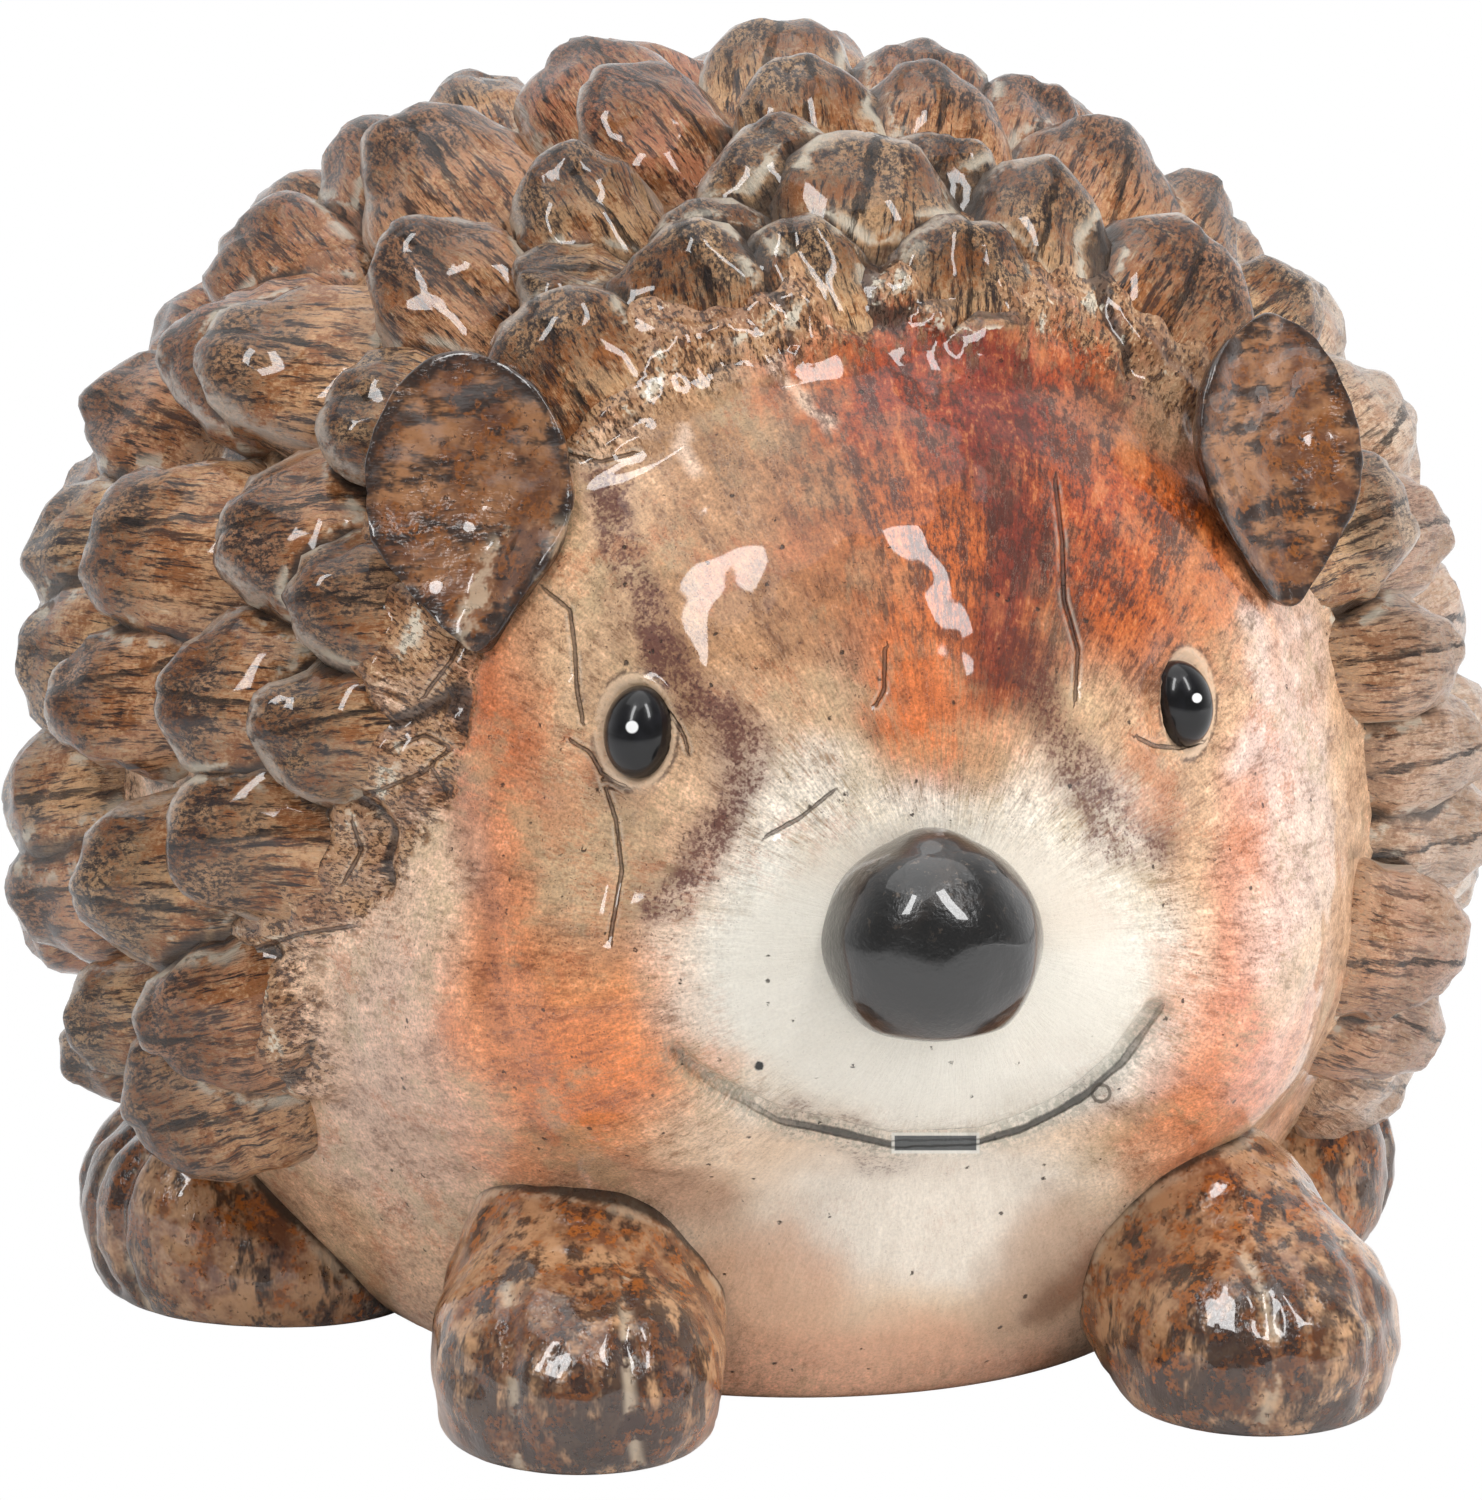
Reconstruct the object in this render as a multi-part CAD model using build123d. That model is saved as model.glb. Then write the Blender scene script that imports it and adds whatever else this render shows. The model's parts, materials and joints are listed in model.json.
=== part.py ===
"""Glazed earthenware hedgehog figurine, modelled as the pieces that are joined before one firing.

A hollow casting makes the round trunk, the head, the cheeks and the chest.  Solid pressed pieces are
seated on it: a muzzle pad, a ball nose, two eye beads, two dished ears, four paws, and rings of fat
round-ended quills that lap backwards from the face to the rump, the front ones set by hand.  Nothing
moves.  The flat belly and the four soles stand on the same plane.  Units are millimetres, +Z is up,
the face looks along -Y and the origin is on the ground under the middle of the figurine.
"""

from build123d import *
import math
import os

# Trunk and head casting
trunk_radius = 62.5
base_radius = 38.8
head_inset = 16.5
head_forward = 29.0
head_raise = 4.0
wall = 4.5
drain_radius = 7.0
cut_overrun = 2.0

# Two cheeks and a chest that fill the casting out, from the trunk's middle unless said
cheek_half_width = 24.0
cheek_half_depth = 40.0
cheek_half_height = 22.0
cheek_aside = 21.0
cheek_forward = 32.0
cheek_drop = 10.0
chest_half_width = 39.0
chest_half_depth = 37.0
chest_half_height = 26.0
chest_forward = 22.0
chest_drop = 31.0

# Muzzle pad, nose and eyes, all placed by angles round the head's centre
muzzle_half_width = 24.5
muzzle_half_depth = 21.5
muzzle_half_height = 17.5
muzzle_drop_angle = 17.8
muzzle_sink = 16.5
nose_radius = 9.3
nose_drop_angle = 6.5
nose_stand_off = 3.4
eye_half_width = 3.4
eye_half_depth = 2.8
eye_half_height = 4.2
eye_side_angle = 33.3
eye_raise_angle = 14.0
eye_sink = 0.6

# Ears: a thick dished disc each, standing off the head in front of the coat
ear_half_width = 9.2
ear_half_height = 13.6
ear_half_thickness = 3.8
ear_side_angle = 59.5
ear_raise_angle = 36.0
ear_stand_off = 6.4
ear_turn_out_angle = 25.0
ear_lean_back_angle = 14.0
ear_lean_out_angle = 8.5
ear_rim = 2.0
ear_dish_depth = 2.8

# Front paws: a leg and a foot in one piece
front_side_angle = 28.5
front_leg_half_width = 12.5
front_leg_half_depth = 15.0
front_leg_half_height = 13.5
front_leg_height = 15.0
front_leg_reach = 5.0
front_foot_half_width = 13.4
front_foot_half_depth = 14.0
front_foot_half_height = 11.0
front_foot_height = 9.5
front_foot_reach = 17.4
toe_groove_width = 1.2
toe_groove_depth = 3.0
toe_groove_pitch = 6.6
toe_groove_count = 3

# Hind paws: a low broad foot under each haunch
hind_side_angle = 92.0
hind_foot_half_width = 14.0
hind_foot_half_length = 17.5
hind_foot_half_height = 10.8
hind_foot_height = 8.5
hind_foot_reach = 2.6

# Quills: round-ended fingers whose roots are sunk in the trunk, in rings round a line to the face
quill_radius = 7.6
quill_half_length = 12.0
quill_reach = 7.4
quill_axis_drop = 1.2
quill_lift_angle = 43.0
quill_gap = 0.3
quill_clearance = 10.0
ring_tilt_angle = 8.0
ring_first_angle = 62.0
ring_pitch_angle = 10.5
ring_count = 12
coat_hem_height = 19.0
sweep_angle = 16.0
sway_angle = 8.0
scatter_angle = 1.5
sway_rates = (2.4, 1.7)
ring_scatter_rates = (1.9, 0.8)
turn_scatter_rates = (3.1, 1.3)
ear_gap_angle = 14.0
ear_turn_angle = 42.0

# The quills in front are set by hand, row by row: the tip's angle from the face, its turn from the crest
# (to the figurine's left), the heading off straight back, and the length and the radius as shares
front_quill_shares = (
    ((60, -28, -4, 0.85, 0.9), (62, -14, 8, 0.8, 0.85), (61, -6, -6, 0.75, 0.7), (69, 3, 9, 1.0, 1.0),
     (61, 9, -6, 0.75, 0.7), (69, 17, -1, 1.0, 0.85), (69, 31, 13, 1.1, 1.0), (57, -61, -43, 1.05, 0.9),
     (55, -72, -29, 1.1, 0.9), (61, -84, -13, 1.15, 1.0), (65, -102, -10, 1.05, 0.95)),
    ((65, -29, -68, 0.75, 0.7), (66, -12, -3, 0.7, 0.9), (73, 10, 8, 0.7, 0.9), (88, 28, 13, 1.15, 1.0),
     (66, -47, -47, 0.75, 0.9), (66, -60, -45, 0.85, 1.0), (65, -73, -21, 0.9, 1.0), (72, -92, -12, 1.15, 1.1),
     (65, 59, 29, 0.9, 0.95), (63, 72, 27, 0.9, 0.75), (59, 99, 12, 0.9, 0.9)),
    ((77, -34, -15, 0.9, 0.9), (77, -21, -13, 0.8, 0.8), (73, -6, -24, 0.7, 1.1), (85, 12, 11, 0.8, 1.0),
     (90, 38, 21, 1.1, 0.85), (81, 45, 22, 0.9, 0.85), (83, -51, -46, 1.05, 1.1), (84, -68, -27, 1.15, 1.1),
     (81, -79, -21, 0.95, 0.9), (93, -99, -19, 1.15, 1.0), (80, -105, -1, 0.8, 0.75), (74, 66, 31, 0.85, 0.75),
     (70, 91, 16, 1.15, 0.9)),
    ((97, -29, -12, 1.15, 1.1), (88, -14, -27, 0.9, 0.95), (101, 3, 9, 1.0, 1.0), (98, 14, 10, 0.85, 0.95),
     (95, 23, 13, 1.05, 0.85), (89, -54, -55, 0.95, 1.15), (100, -74, -32, 1.15, 1.1), (95, -93, -25, 1.1, 1.0),
     (84, -110, -14, 0.95, 0.75), (66, 82, 20, 0.9, 0.8), (66, 108, 8, 1.05, 0.8)),
)

# The head's ball is this much smaller than the trunk's, so it grows with the trunk
head_radius = trunk_radius - head_inset

# The trunk stands as far back as brings the middle of nose and coat over the origin
nose_reach = (
    head_forward + (head_radius + nose_stand_off) * math.cos(math.radians(nose_drop_angle)) + nose_radius
)
coat_reach = trunk_radius + quill_reach + quill_axis_drop
trunk_back = (nose_reach - coat_reach) / 2
trunk_centre_height = math.sqrt(trunk_radius**2 - base_radius**2)
trunk_centre = Vector(0, trunk_back, trunk_centre_height)
head_centre = trunk_centre + Vector(0, -head_forward, head_raise)


def ellipsoid(plane, half_x, half_y, half_z):
    """A ball of unit radius stretched to the three half sizes and set on the plane."""
    return plane * scale(Sphere(1), by=(half_x, half_y, half_z))


def above_ground(shape):
    """What is left of a shape over the plane that the figurine stands on."""
    box = shape.bounding_box()
    depth = max(-box.min.Z, 0) + cut_overrun
    middle = box.center()
    ground = Pos(middle.X, middle.Y, -depth / 2) * Box(
        box.size.X + 2 * cut_overrun, box.size.Y + 2 * cut_overrun, depth
    )
    return shape - ground


def solids_of(shape):
    """The closed solids of a cut, largest first, without crumbs that a cut leaves."""
    found = sorted(shape.solids(), key=lambda solid: solid.volume, reverse=True)
    return found[:1]


def mirrored(shape):
    """The same piece on the other side of the figurine."""
    return mirror(shape, about=Plane.YZ)


def skin_reach(start, direction):
    """How far the casting's skin is from a point inside both balls, along a direction."""
    reaches = []
    for centre, radius in ((trunk_centre, trunk_radius), (head_centre, head_radius)):
        across = centre - start
        along = across.dot(direction)
        reaches.append(along + math.sqrt(radius**2 - across.length**2 + along**2))
    return max(reaches)


def head_direction(side_angle, raise_angle):
    """A unit vector from the head's centre: to the figurine's left, then up from straight ahead."""
    side = math.radians(side_angle)
    rise = math.radians(raise_angle)
    return Vector(math.sin(side) * math.cos(rise), -math.cos(side) * math.cos(rise), math.sin(rise))


def make_balls():
    """The trunk and the head: two balls run together and cut flat under the belly."""
    trunk = Pos(*trunk_centre) * Sphere(trunk_radius)
    head = Pos(*head_centre) * Sphere(head_radius)
    return above_ground(trunk + head)


def make_fillings():
    """The chest, cut flat on the ground, and the two cheeks."""
    chest = Pos(*(trunk_centre + Vector(0, -chest_forward, -chest_drop))) * scale(
        Sphere(1), by=(chest_half_width, chest_half_depth, chest_half_height)
    )
    cheek = Pos(*(trunk_centre + Vector(cheek_aside, -cheek_forward, -cheek_drop))) * scale(
        Sphere(1), by=(cheek_half_width, cheek_half_depth, cheek_half_height)
    )
    return [above_ground(chest), cheek, mirrored(cheek)]


def make_body_shell(core):
    """The casting, hollow all through, with the drain hole that lets steam out of it in the kiln."""
    hollow = Pos(*trunk_centre) * Sphere(trunk_radius - wall) + Pos(*head_centre) * Sphere(head_radius - wall)
    floor_depth = head_radius + trunk_radius
    floor_block = Pos(0, 0, wall - floor_depth / 2) * Box(
        2 * floor_depth, 2 * floor_depth, floor_depth
    )
    drain = Pos(0, trunk_back, wall / 2) * Cylinder(drain_radius, wall + 2 * cut_overrun)
    return core - (hollow - floor_block) - drain


def make_muzzle(core):
    """The pale pad under and round the nose."""
    direction = head_direction(0, -muzzle_drop_angle)
    centre = head_centre + direction * (skin_reach(head_centre, direction) - muzzle_sink)
    plane = Plane(origin=centre, x_dir=(1, 0, 0), z_dir=(0, -1, 0))
    raw = ellipsoid(plane, muzzle_half_width, muzzle_half_height, muzzle_half_depth)
    return raw, raw - core


def make_nose(core, raw_muzzle):
    """A ball pressed into the muzzle."""
    direction = head_direction(0, -nose_drop_angle)
    centre = head_centre + direction * (skin_reach(head_centre, direction) + nose_stand_off)
    raw = Pos(*centre) * Sphere(nose_radius)
    return raw.cut(core, raw_muzzle)


def make_eye(core):
    """The left eye bead, proud of the head."""
    direction = head_direction(eye_side_angle, eye_raise_angle)
    centre = head_centre + direction * (skin_reach(head_centre, direction) - eye_sink)
    sideways = direction.cross(Vector(0, 0, 1)) * -1
    plane = Plane(origin=centre, x_dir=sideways, z_dir=direction)
    return ellipsoid(plane, eye_half_width, eye_half_height, eye_half_depth) - core


def make_ear(core):
    """The left ear: a thick disc that faces forward and out, dished in front."""
    direction = head_direction(ear_side_angle, ear_raise_angle)
    place = head_centre + direction * (skin_reach(head_centre, direction) + ear_stand_off)
    turned = Pos(*place) * Rot(0, 0, ear_turn_out_angle) * Rot(-ear_lean_back_angle, 0, 0)
    turned = turned * Rot(0, ear_lean_out_angle, 0)
    disc = turned * scale(Sphere(1), by=(ear_half_width, ear_half_thickness, ear_half_height))
    dish = turned * Pos(0, -ear_half_thickness, 0) * scale(
        Sphere(1), by=(ear_half_width - ear_rim, ear_dish_depth, ear_half_height - ear_rim)
    )
    return disc, disc.cut(core, dish)


def ground_point(side_angle, height, reach):
    """A point outside the trunk at that height, that far from its skin, on the figurine's left."""
    side = math.radians(side_angle)
    skin = math.sqrt(max(trunk_radius**2 - (trunk_centre.Z - height) ** 2, 0))
    away = skin + reach
    return Vector(away * math.sin(side), trunk_back - away * math.cos(side), height)


def make_front_paw(core, raw_muzzle):
    """The left front paw: a short leg run into a broad foot with a flat sole."""
    turn = Rot(0, 0, front_side_angle / 2)
    leg_place = Pos(*ground_point(front_side_angle, front_leg_height, front_leg_reach)) * turn
    foot_place = Pos(*ground_point(front_side_angle, front_foot_height, front_foot_reach)) * turn
    leg = leg_place * scale(
        Sphere(1), by=(front_leg_half_width, front_leg_half_depth, front_leg_half_height)
    )
    foot = foot_place * scale(
        Sphere(1), by=(front_foot_half_width, front_foot_half_depth, front_foot_half_height)
    )
    paw = above_ground(leg + foot).cut(core, raw_muzzle)
    for index in range(toe_groove_count):
        aside = (index - (toe_groove_count - 1) / 2) * toe_groove_pitch
        paw -= foot_place * Pos(aside, -front_foot_half_depth, 0) * Box(
            toe_groove_width, 2 * toe_groove_depth, 2 * front_foot_half_height
        )
    return paw


def make_hind_paw(core):
    """The left hind paw: a low foot that lies along the flank."""
    place = Pos(*ground_point(hind_side_angle, hind_foot_height, hind_foot_reach))
    foot = place * scale(
        Sphere(1), by=(hind_foot_half_width, hind_foot_half_length, hind_foot_half_height)
    )
    return above_ground(foot) - core


def quill_plane(ring_angle, turn, heading, length_share):
    """The middle of a quill whose tip is at those angles: its x runs to its tip, its z off the trunk."""
    tilt = math.radians(ring_tilt_angle)
    ring = math.radians(ring_angle)
    side = math.radians(turn)
    lift = math.radians(quill_lift_angle)
    aim = math.radians(heading)
    ahead = Vector(0, -math.cos(tilt), -math.sin(tilt))
    upward = Vector(0, -math.sin(tilt), math.cos(tilt))
    spoke = upward * math.cos(side) + Vector(1, 0, 0) * math.sin(side)
    sideways = Vector(1, 0, 0) * math.cos(side) - upward * math.sin(side)
    off_skin = ahead * math.cos(ring) + spoke * math.sin(ring)
    backward = (ahead * -math.sin(ring) + spoke * math.cos(ring)) * math.cos(aim) + sideways * math.sin(aim)
    to_tip = backward * math.cos(lift) + off_skin * math.sin(lift)
    off_back = off_skin * math.cos(lift) - backward * math.sin(lift)
    tip = trunk_centre + off_skin * (trunk_radius + quill_reach)
    middle = tip - to_tip * quill_half_length * length_share - off_back * quill_axis_drop
    return Plane(origin=middle, x_dir=to_tip, z_dir=off_back)


def wave(rates, index, ring):
    """A value between -1 and 1 that looks like chance from one quill to the next."""
    return math.sin(rates[0] * index + rates[1] * ring)


def ring_places(ring, taken):
    """Where one ring's quills go by rule, round the whole trunk, clear of places that are taken."""
    ring_angle = ring_first_angle + ring_pitch_angle * ring
    around = 2 * math.pi * trunk_radius * math.sin(math.radians(ring_angle))
    count = 1 if ring == ring_count - 1 else int(around / (2 * quill_radius + quill_gap))
    for index in range(count):
        turn = 360 / count * (index + (ring % 2) / 2)
        turn = turn - 360 if turn > 180 else turn
        sweep = sweep_angle * math.sin(math.radians(turn))
        plane = quill_plane(
            ring_angle + scatter_angle * wave(ring_scatter_rates, index, ring),
            turn + scatter_angle * wave(turn_scatter_rates, index, ring),
            sweep + sway_angle * wave(sway_rates, index, ring), 1,
        )
        in_ear = ring == 0 and abs(abs(turn) - ear_turn_angle) < ear_gap_angle
        clear = all((plane.origin - other).length > quill_clearance for other in taken)
        if plane.origin.Z > coat_hem_height and clear and not in_ear:
            yield plane


def make_finger(half_length, radius):
    """One whole quill along x, round at both ends, with its middle at zero."""
    shank = half_length - radius
    with BuildPart() as finger:
        with BuildSketch(Plane.XY):
            with BuildLine():
                root = RadiusArc((-half_length, 0), (-shank, radius), radius)
                side = Line(root @ 1, (shank, radius))
                tip = RadiusArc(side @ 1, (half_length, 0), radius)
                Line(tip @ 1, root @ 0)
            make_face()
        revolve(axis=Axis.X)
    return finger.part


os.makedirs("parts", exist_ok=True)


def save(name, pieces):
    """Writes one named node of one or more separate solids."""
    solids = [solid for piece in pieces for solid in solids_of(piece)]
    export_step(Compound(children=solids) if len(solids) > 1 else solids[0], f"parts/{name}.step")


def boxes_meet(box, other, margin):
    """Whether two boxes come closer than the margin on every axis."""
    return (
        box.min.X - margin < other.max.X and other.min.X < box.max.X + margin
        and box.min.Y - margin < other.max.Y and other.min.Y < box.max.Y + margin
        and box.min.Z - margin < other.max.Z and other.min.Z < box.max.Z + margin
    )


def lay_quills():
    """Every quill before trimming, row by row: its plane, half length and radius."""
    rows = [[] for ring in range(ring_count)]
    taken = []
    for row, shares in zip(rows, front_quill_shares):
        for ring_angle, turn, heading, length_share, radius_share in shares:
            plane = quill_plane(ring_angle, turn, heading, length_share)
            row.append((plane, quill_half_length * length_share, quill_radius * radius_share))
            taken.append(plane.origin)
    for ring, row in enumerate(rows):
        row.extend((plane, quill_half_length, quill_radius) for plane in ring_places(ring, taken))
    return rows


def make_quill_rows(core, obstacles):
    """Every ring of quills, each trimmed where a quill nearer the face lies over it."""
    obstacle_boxes = [(piece, piece.bounding_box()) for piece in obstacles]
    laid = []
    for ring, row in enumerate(lay_quills()):
        pieces = []
        for plane, half_length, radius in row:
            raw = plane * make_finger(half_length, radius)
            shank = half_length - radius
            line = plane * Edge.make_line((-shank, 0, 0), (shank, 0, 0))
            tools = [other for other, other_line, other_radius in laid
                     if line.distance_to(other_line) < radius + other_radius]
            tools += [piece for piece, box in obstacle_boxes
                      if boxes_meet(line.bounding_box(), box, radius)]
            pieces.append(raw.cut(core, *tools))
            laid.append((raw, line, radius))
        save(f"quill_row_{ring + 1:02d}", pieces)


def main():
    balls = make_balls()
    fillings = make_fillings()
    core = balls.fuse(*fillings)
    raw_muzzle, muzzle = make_muzzle(core)
    raw_ear, ear = make_ear(core)
    eye = make_eye(core)
    front_paw = make_front_paw(core, raw_muzzle)
    hind_paw = make_hind_paw(core)
    save("body_shell", [make_body_shell(core)])
    save("muzzle_pad", [muzzle])
    save("nose", [make_nose(core, raw_muzzle)])
    for name, piece in (("eye", eye), ("ear", ear), ("front_paw", front_paw), ("hind_paw", hind_paw)):
        save(f"left_{name}", [piece])
        save(f"right_{name}", [mirrored(piece)])
    paired = [raw_ear, front_paw, hind_paw]
    make_quill_rows(balls, [*fillings, *paired, *(mirrored(piece) for piece in paired)])


main()
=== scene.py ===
import json
import math

import bpy
import numpy as np
from mathutils import Matrix, Vector, noise

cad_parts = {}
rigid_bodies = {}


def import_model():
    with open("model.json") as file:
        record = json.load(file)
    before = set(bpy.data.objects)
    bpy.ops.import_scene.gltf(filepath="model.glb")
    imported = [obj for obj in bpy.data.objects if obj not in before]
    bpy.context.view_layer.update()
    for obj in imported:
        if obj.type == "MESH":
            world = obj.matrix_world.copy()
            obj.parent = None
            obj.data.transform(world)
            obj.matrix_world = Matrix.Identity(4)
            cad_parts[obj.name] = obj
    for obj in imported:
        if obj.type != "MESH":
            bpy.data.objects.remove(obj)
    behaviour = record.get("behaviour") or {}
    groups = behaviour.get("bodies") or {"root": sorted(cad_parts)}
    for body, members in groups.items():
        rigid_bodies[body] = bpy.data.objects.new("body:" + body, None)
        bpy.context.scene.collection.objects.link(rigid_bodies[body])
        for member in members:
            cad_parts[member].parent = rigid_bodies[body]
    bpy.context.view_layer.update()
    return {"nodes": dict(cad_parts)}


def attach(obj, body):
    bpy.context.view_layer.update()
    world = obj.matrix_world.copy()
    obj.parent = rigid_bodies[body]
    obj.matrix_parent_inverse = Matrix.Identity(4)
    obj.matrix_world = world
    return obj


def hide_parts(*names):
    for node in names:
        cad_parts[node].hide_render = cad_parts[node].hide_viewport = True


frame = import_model()
print("frame: loaded", len(frame["nodes"]), "nodes")

mm = 0.001
root = "root"


# colours, given as a painter reads them off a screen, turned to the renderer's linear values
def ink(red, green, blue):
    linear = []
    for level in (red, green, blue):
        share = level / 255
        linear.append(share / 12.92 if share <= 0.04045 else ((share + 0.055) / 1.055) ** 2.4)
    return (*linear, 1.0)


# one socket of a node tree, so that formulas can be written as sums
class Wire:
    def __init__(self, tree, socket):
        self.tree = tree
        self.socket = socket

    def math(self, operation, *others):
        made = self.tree.nodes.new("ShaderNodeMath")
        made.operation = operation
        for place, value in enumerate((self, *others)):
            if isinstance(value, Wire):
                self.tree.links.new(value.socket, made.inputs[place])
            else:
                made.inputs[place].default_value = value
        return Wire(self.tree, made.outputs[0])

    def flipped(self, operation, first):
        made = self.tree.nodes.new("ShaderNodeMath")
        made.operation = operation
        made.inputs[0].default_value = first
        self.tree.links.new(self.socket, made.inputs[1])
        return Wire(self.tree, made.outputs[0])

    def __add__(self, other):
        return self.math("ADD", other)

    def __radd__(self, other):
        return self.math("ADD", other)

    def __sub__(self, other):
        return self.math("SUBTRACT", other)

    def __rsub__(self, other):
        return self.flipped("SUBTRACT", other)

    def __mul__(self, other):
        return self.math("MULTIPLY", other)

    def __rmul__(self, other):
        return self.math("MULTIPLY", other)

    def __truediv__(self, other):
        return self.math("DIVIDE", other)

    def __rtruediv__(self, other):
        return self.flipped("DIVIDE", other)

    def __pow__(self, other):
        return self.math("POWER", other)

    def __neg__(self):
        return self.math("MULTIPLY", -1.0)

    def floor(self, least):
        return self.math("MAXIMUM", least)

    def size(self):
        return self.math("ABSOLUTE")

    # 0 below low, 1 above high, eased between; low may be the larger
    def ramp(self, low, high):
        return node(self.tree, "ShaderNodeMapRange", {"interpolation_type": "SMOOTHSTEP"},
                    {"Value": self, "From Min": low, "From Max": high})


def node(tree, kind, settings, sockets, output=0):
    made = tree.nodes.new(kind)
    for name, value in settings.items():
        setattr(made, name, value)
    for key, value in sockets.items():
        if isinstance(value, Wire):
            tree.links.new(value.socket, made.inputs[key])
        else:
            made.inputs[key].default_value = value
    return Wire(tree, made.outputs[output])


def blend(tree, share, low, high):
    return node(tree, "ShaderNodeMix", {"data_type": "RGBA"}, {0: share, 6: low, 7: high}, 2)


def tinted(tree, share, low, high):
    return node(tree, "ShaderNodeMix", {"data_type": "RGBA", "blend_type": "MULTIPLY"},
                {0: share, 6: low, 7: high}, 2)


def fine(tree, place, scale, detail=3.0, roughness=0.6, lacunarity=2.0):
    return node(tree, "ShaderNodeTexNoise", {},
                {"Vector": place, "Scale": scale, "Detail": detail, "Roughness": roughness,
                 "Lacunarity": lacunarity})


def stretched(tree, place, by, shift=None):
    scaled = node(tree, "ShaderNodeVectorMath", {"operation": "MULTIPLY"}, {0: place, 1: by})
    if shift is None:
        return scaled
    return node(tree, "ShaderNodeVectorMath", {"operation": "ADD"}, {0: scaled, 1: shift})


def attribute(tree, name, output=2):
    return node(tree, "ShaderNodeAttribute", {"attribute_name": name}, {}, output)


def glaze(name, colourOf, roughness=0.3, coat=0.75, coatRoughness=0.045, specular=0.5):
    made = bpy.data.materials.new(name)
    made.use_nodes = True
    tree = made.node_tree
    shader = tree.nodes["Principled BSDF"]
    shader.inputs["Coat Weight"].default_value = coat
    shader.inputs["Coat Roughness"].default_value = coatRoughness
    shader.inputs["Specular IOR Level"].default_value = specular
    shader.inputs["Roughness"].default_value = roughness
    colour, height, depth = colourOf(tree)
    tree.links.new(colour.socket, shader.inputs["Base Color"])
    bump = node(tree, "ShaderNodeBump", {}, {"Height": height, "Distance": depth, "Strength": 1.0})
    tree.links.new(bump.socket, shader.inputs["Normal"])
    return made


# the photographer's place, in millimetres, and the picture it gives; a separate script fitted the place and
# the focal length to the paws, eyes, ears, nose and mouth as they stand in the photograph
sightSizes = {
    "camera": (-132.54, -594.723, 156.989),
    "target": (-2.05, 2.24, 51.722),
    "focal": 6510.6,
    "width": 1482,
    "height": 1500,
}
eyePoint = np.array(sightSizes["camera"])
backward = eyePoint - np.array(sightSizes["target"])
backward /= np.linalg.norm(backward)
rightward = np.cross([0, 0, 1], backward)
rightward /= np.linalg.norm(rightward)
upward = np.cross(backward, rightward)


# where points of the figurine fall on the picture
def sightOf(points):
    away = np.asarray(points) - eyePoint
    depth = -(away @ backward)
    across = sightSizes["width"] / 2 + sightSizes["focal"] * (away @ rightward) / depth
    down = sightSizes["height"] / 2 - sightSizes["focal"] * (away @ upward) / depth
    return across, down


# the line of sight through one place of the picture
def lookAlong(across, down):
    ray = (
        -backward
        + rightward * (across - sightSizes["width"] / 2) / sightSizes["focal"]
        - upward * (down - sightSizes["height"] / 2) / sightSizes["focal"]
    )
    return ray / np.linalg.norm(ray)


def eased(value, low, high):
    share = np.clip((value - low) / (high - low), 0, 1)
    return share * share * (3 - 2 * share)


# smooth larger of two fields
def joined(first, second, blendWidth):
    near = np.maximum(blendWidth - np.abs(first - second), 0) / blendWidth
    return np.maximum(first, second) + near * near * blendWidth / 4


# how far an oval's far side is along rays from a start; oval: centre, halves and axes as columns
def ovalReach(start, rays, centre, halves, axes=np.eye(3)):
    turn = axes.T
    inside = turn @ (np.asarray(start, float) - np.asarray(centre, float)) / np.asarray(halves)
    along = (rays @ turn.T) / np.asarray(halves)
    a = (along * along).sum(1)
    b = along @ inside
    under = b * b - a * (inside @ inside - 1)
    far = (-b + np.sqrt(np.maximum(under, 0))) / a
    return np.where((under > 0) & (far > 0), far, 0.0)


# faces of a closed skin: a pole, rings of equal segments, and a pole
def skinFaces(ringCount, segments):
    faces = []
    last = 1 + (ringCount - 1) * segments
    for spot in range(segments):
        after = (spot + 1) % segments
        faces.append((0, 1 + spot, 1 + after))
        faces.append((last + after, last + spot, 1 + ringCount * segments))
    first = np.arange(segments)
    after = (first + 1) % segments
    for ring in range(ringCount - 1):
        low = 1 + ring * segments
        high = low + segments
        faces.extend(zip((low + first).tolist(), (high + first).tolist(),
                         (high + after).tolist(), (low + after).tolist()))
    return faces


# the ring angle and the angle round the axis of each point of such a skin
def skinAngles(angles, segments):
    around = np.linspace(0, 2 * math.pi, segments, endpoint=False)
    ringOf = np.concatenate([[angles[0]], np.repeat(angles[1:-1], segments), [angles[-1]]])
    turnOf = np.concatenate([[0], np.tile(around, len(angles) - 2), [0]])
    return ringOf, turnOf


# a closed skin round an axis; radiusOf(rays) gives how far it is from the start
def makeSkin(start, axis, upHint, angles, segments, radiusOf):
    axis = np.asarray(axis, float) / np.linalg.norm(axis)
    side = np.cross(axis, upHint)
    side /= np.linalg.norm(side)
    top = np.cross(side, axis)
    ringOf, turnOf = skinAngles(angles, segments)
    spokes = np.outer(np.cos(turnOf), top) + np.outer(np.sin(turnOf), side)
    rays = np.outer(np.cos(ringOf), axis) + spokes * np.sin(ringOf)[:, None]
    points = np.asarray(start) + rays * radiusOf(rays)[:, None]
    return points, skinFaces(len(angles) - 2, segments), rays


def outwardNormals(points, faces):
    mesh = bpy.data.meshes.new("probe")
    mesh.from_pydata(points.tolist(), [], faces)
    normals = np.zeros(len(points) * 3, np.float32)
    mesh.vertex_normals.foreach_get("vector", normals)
    bpy.data.meshes.remove(mesh)
    return normals.reshape(-1, 3).astype(float)


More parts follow.
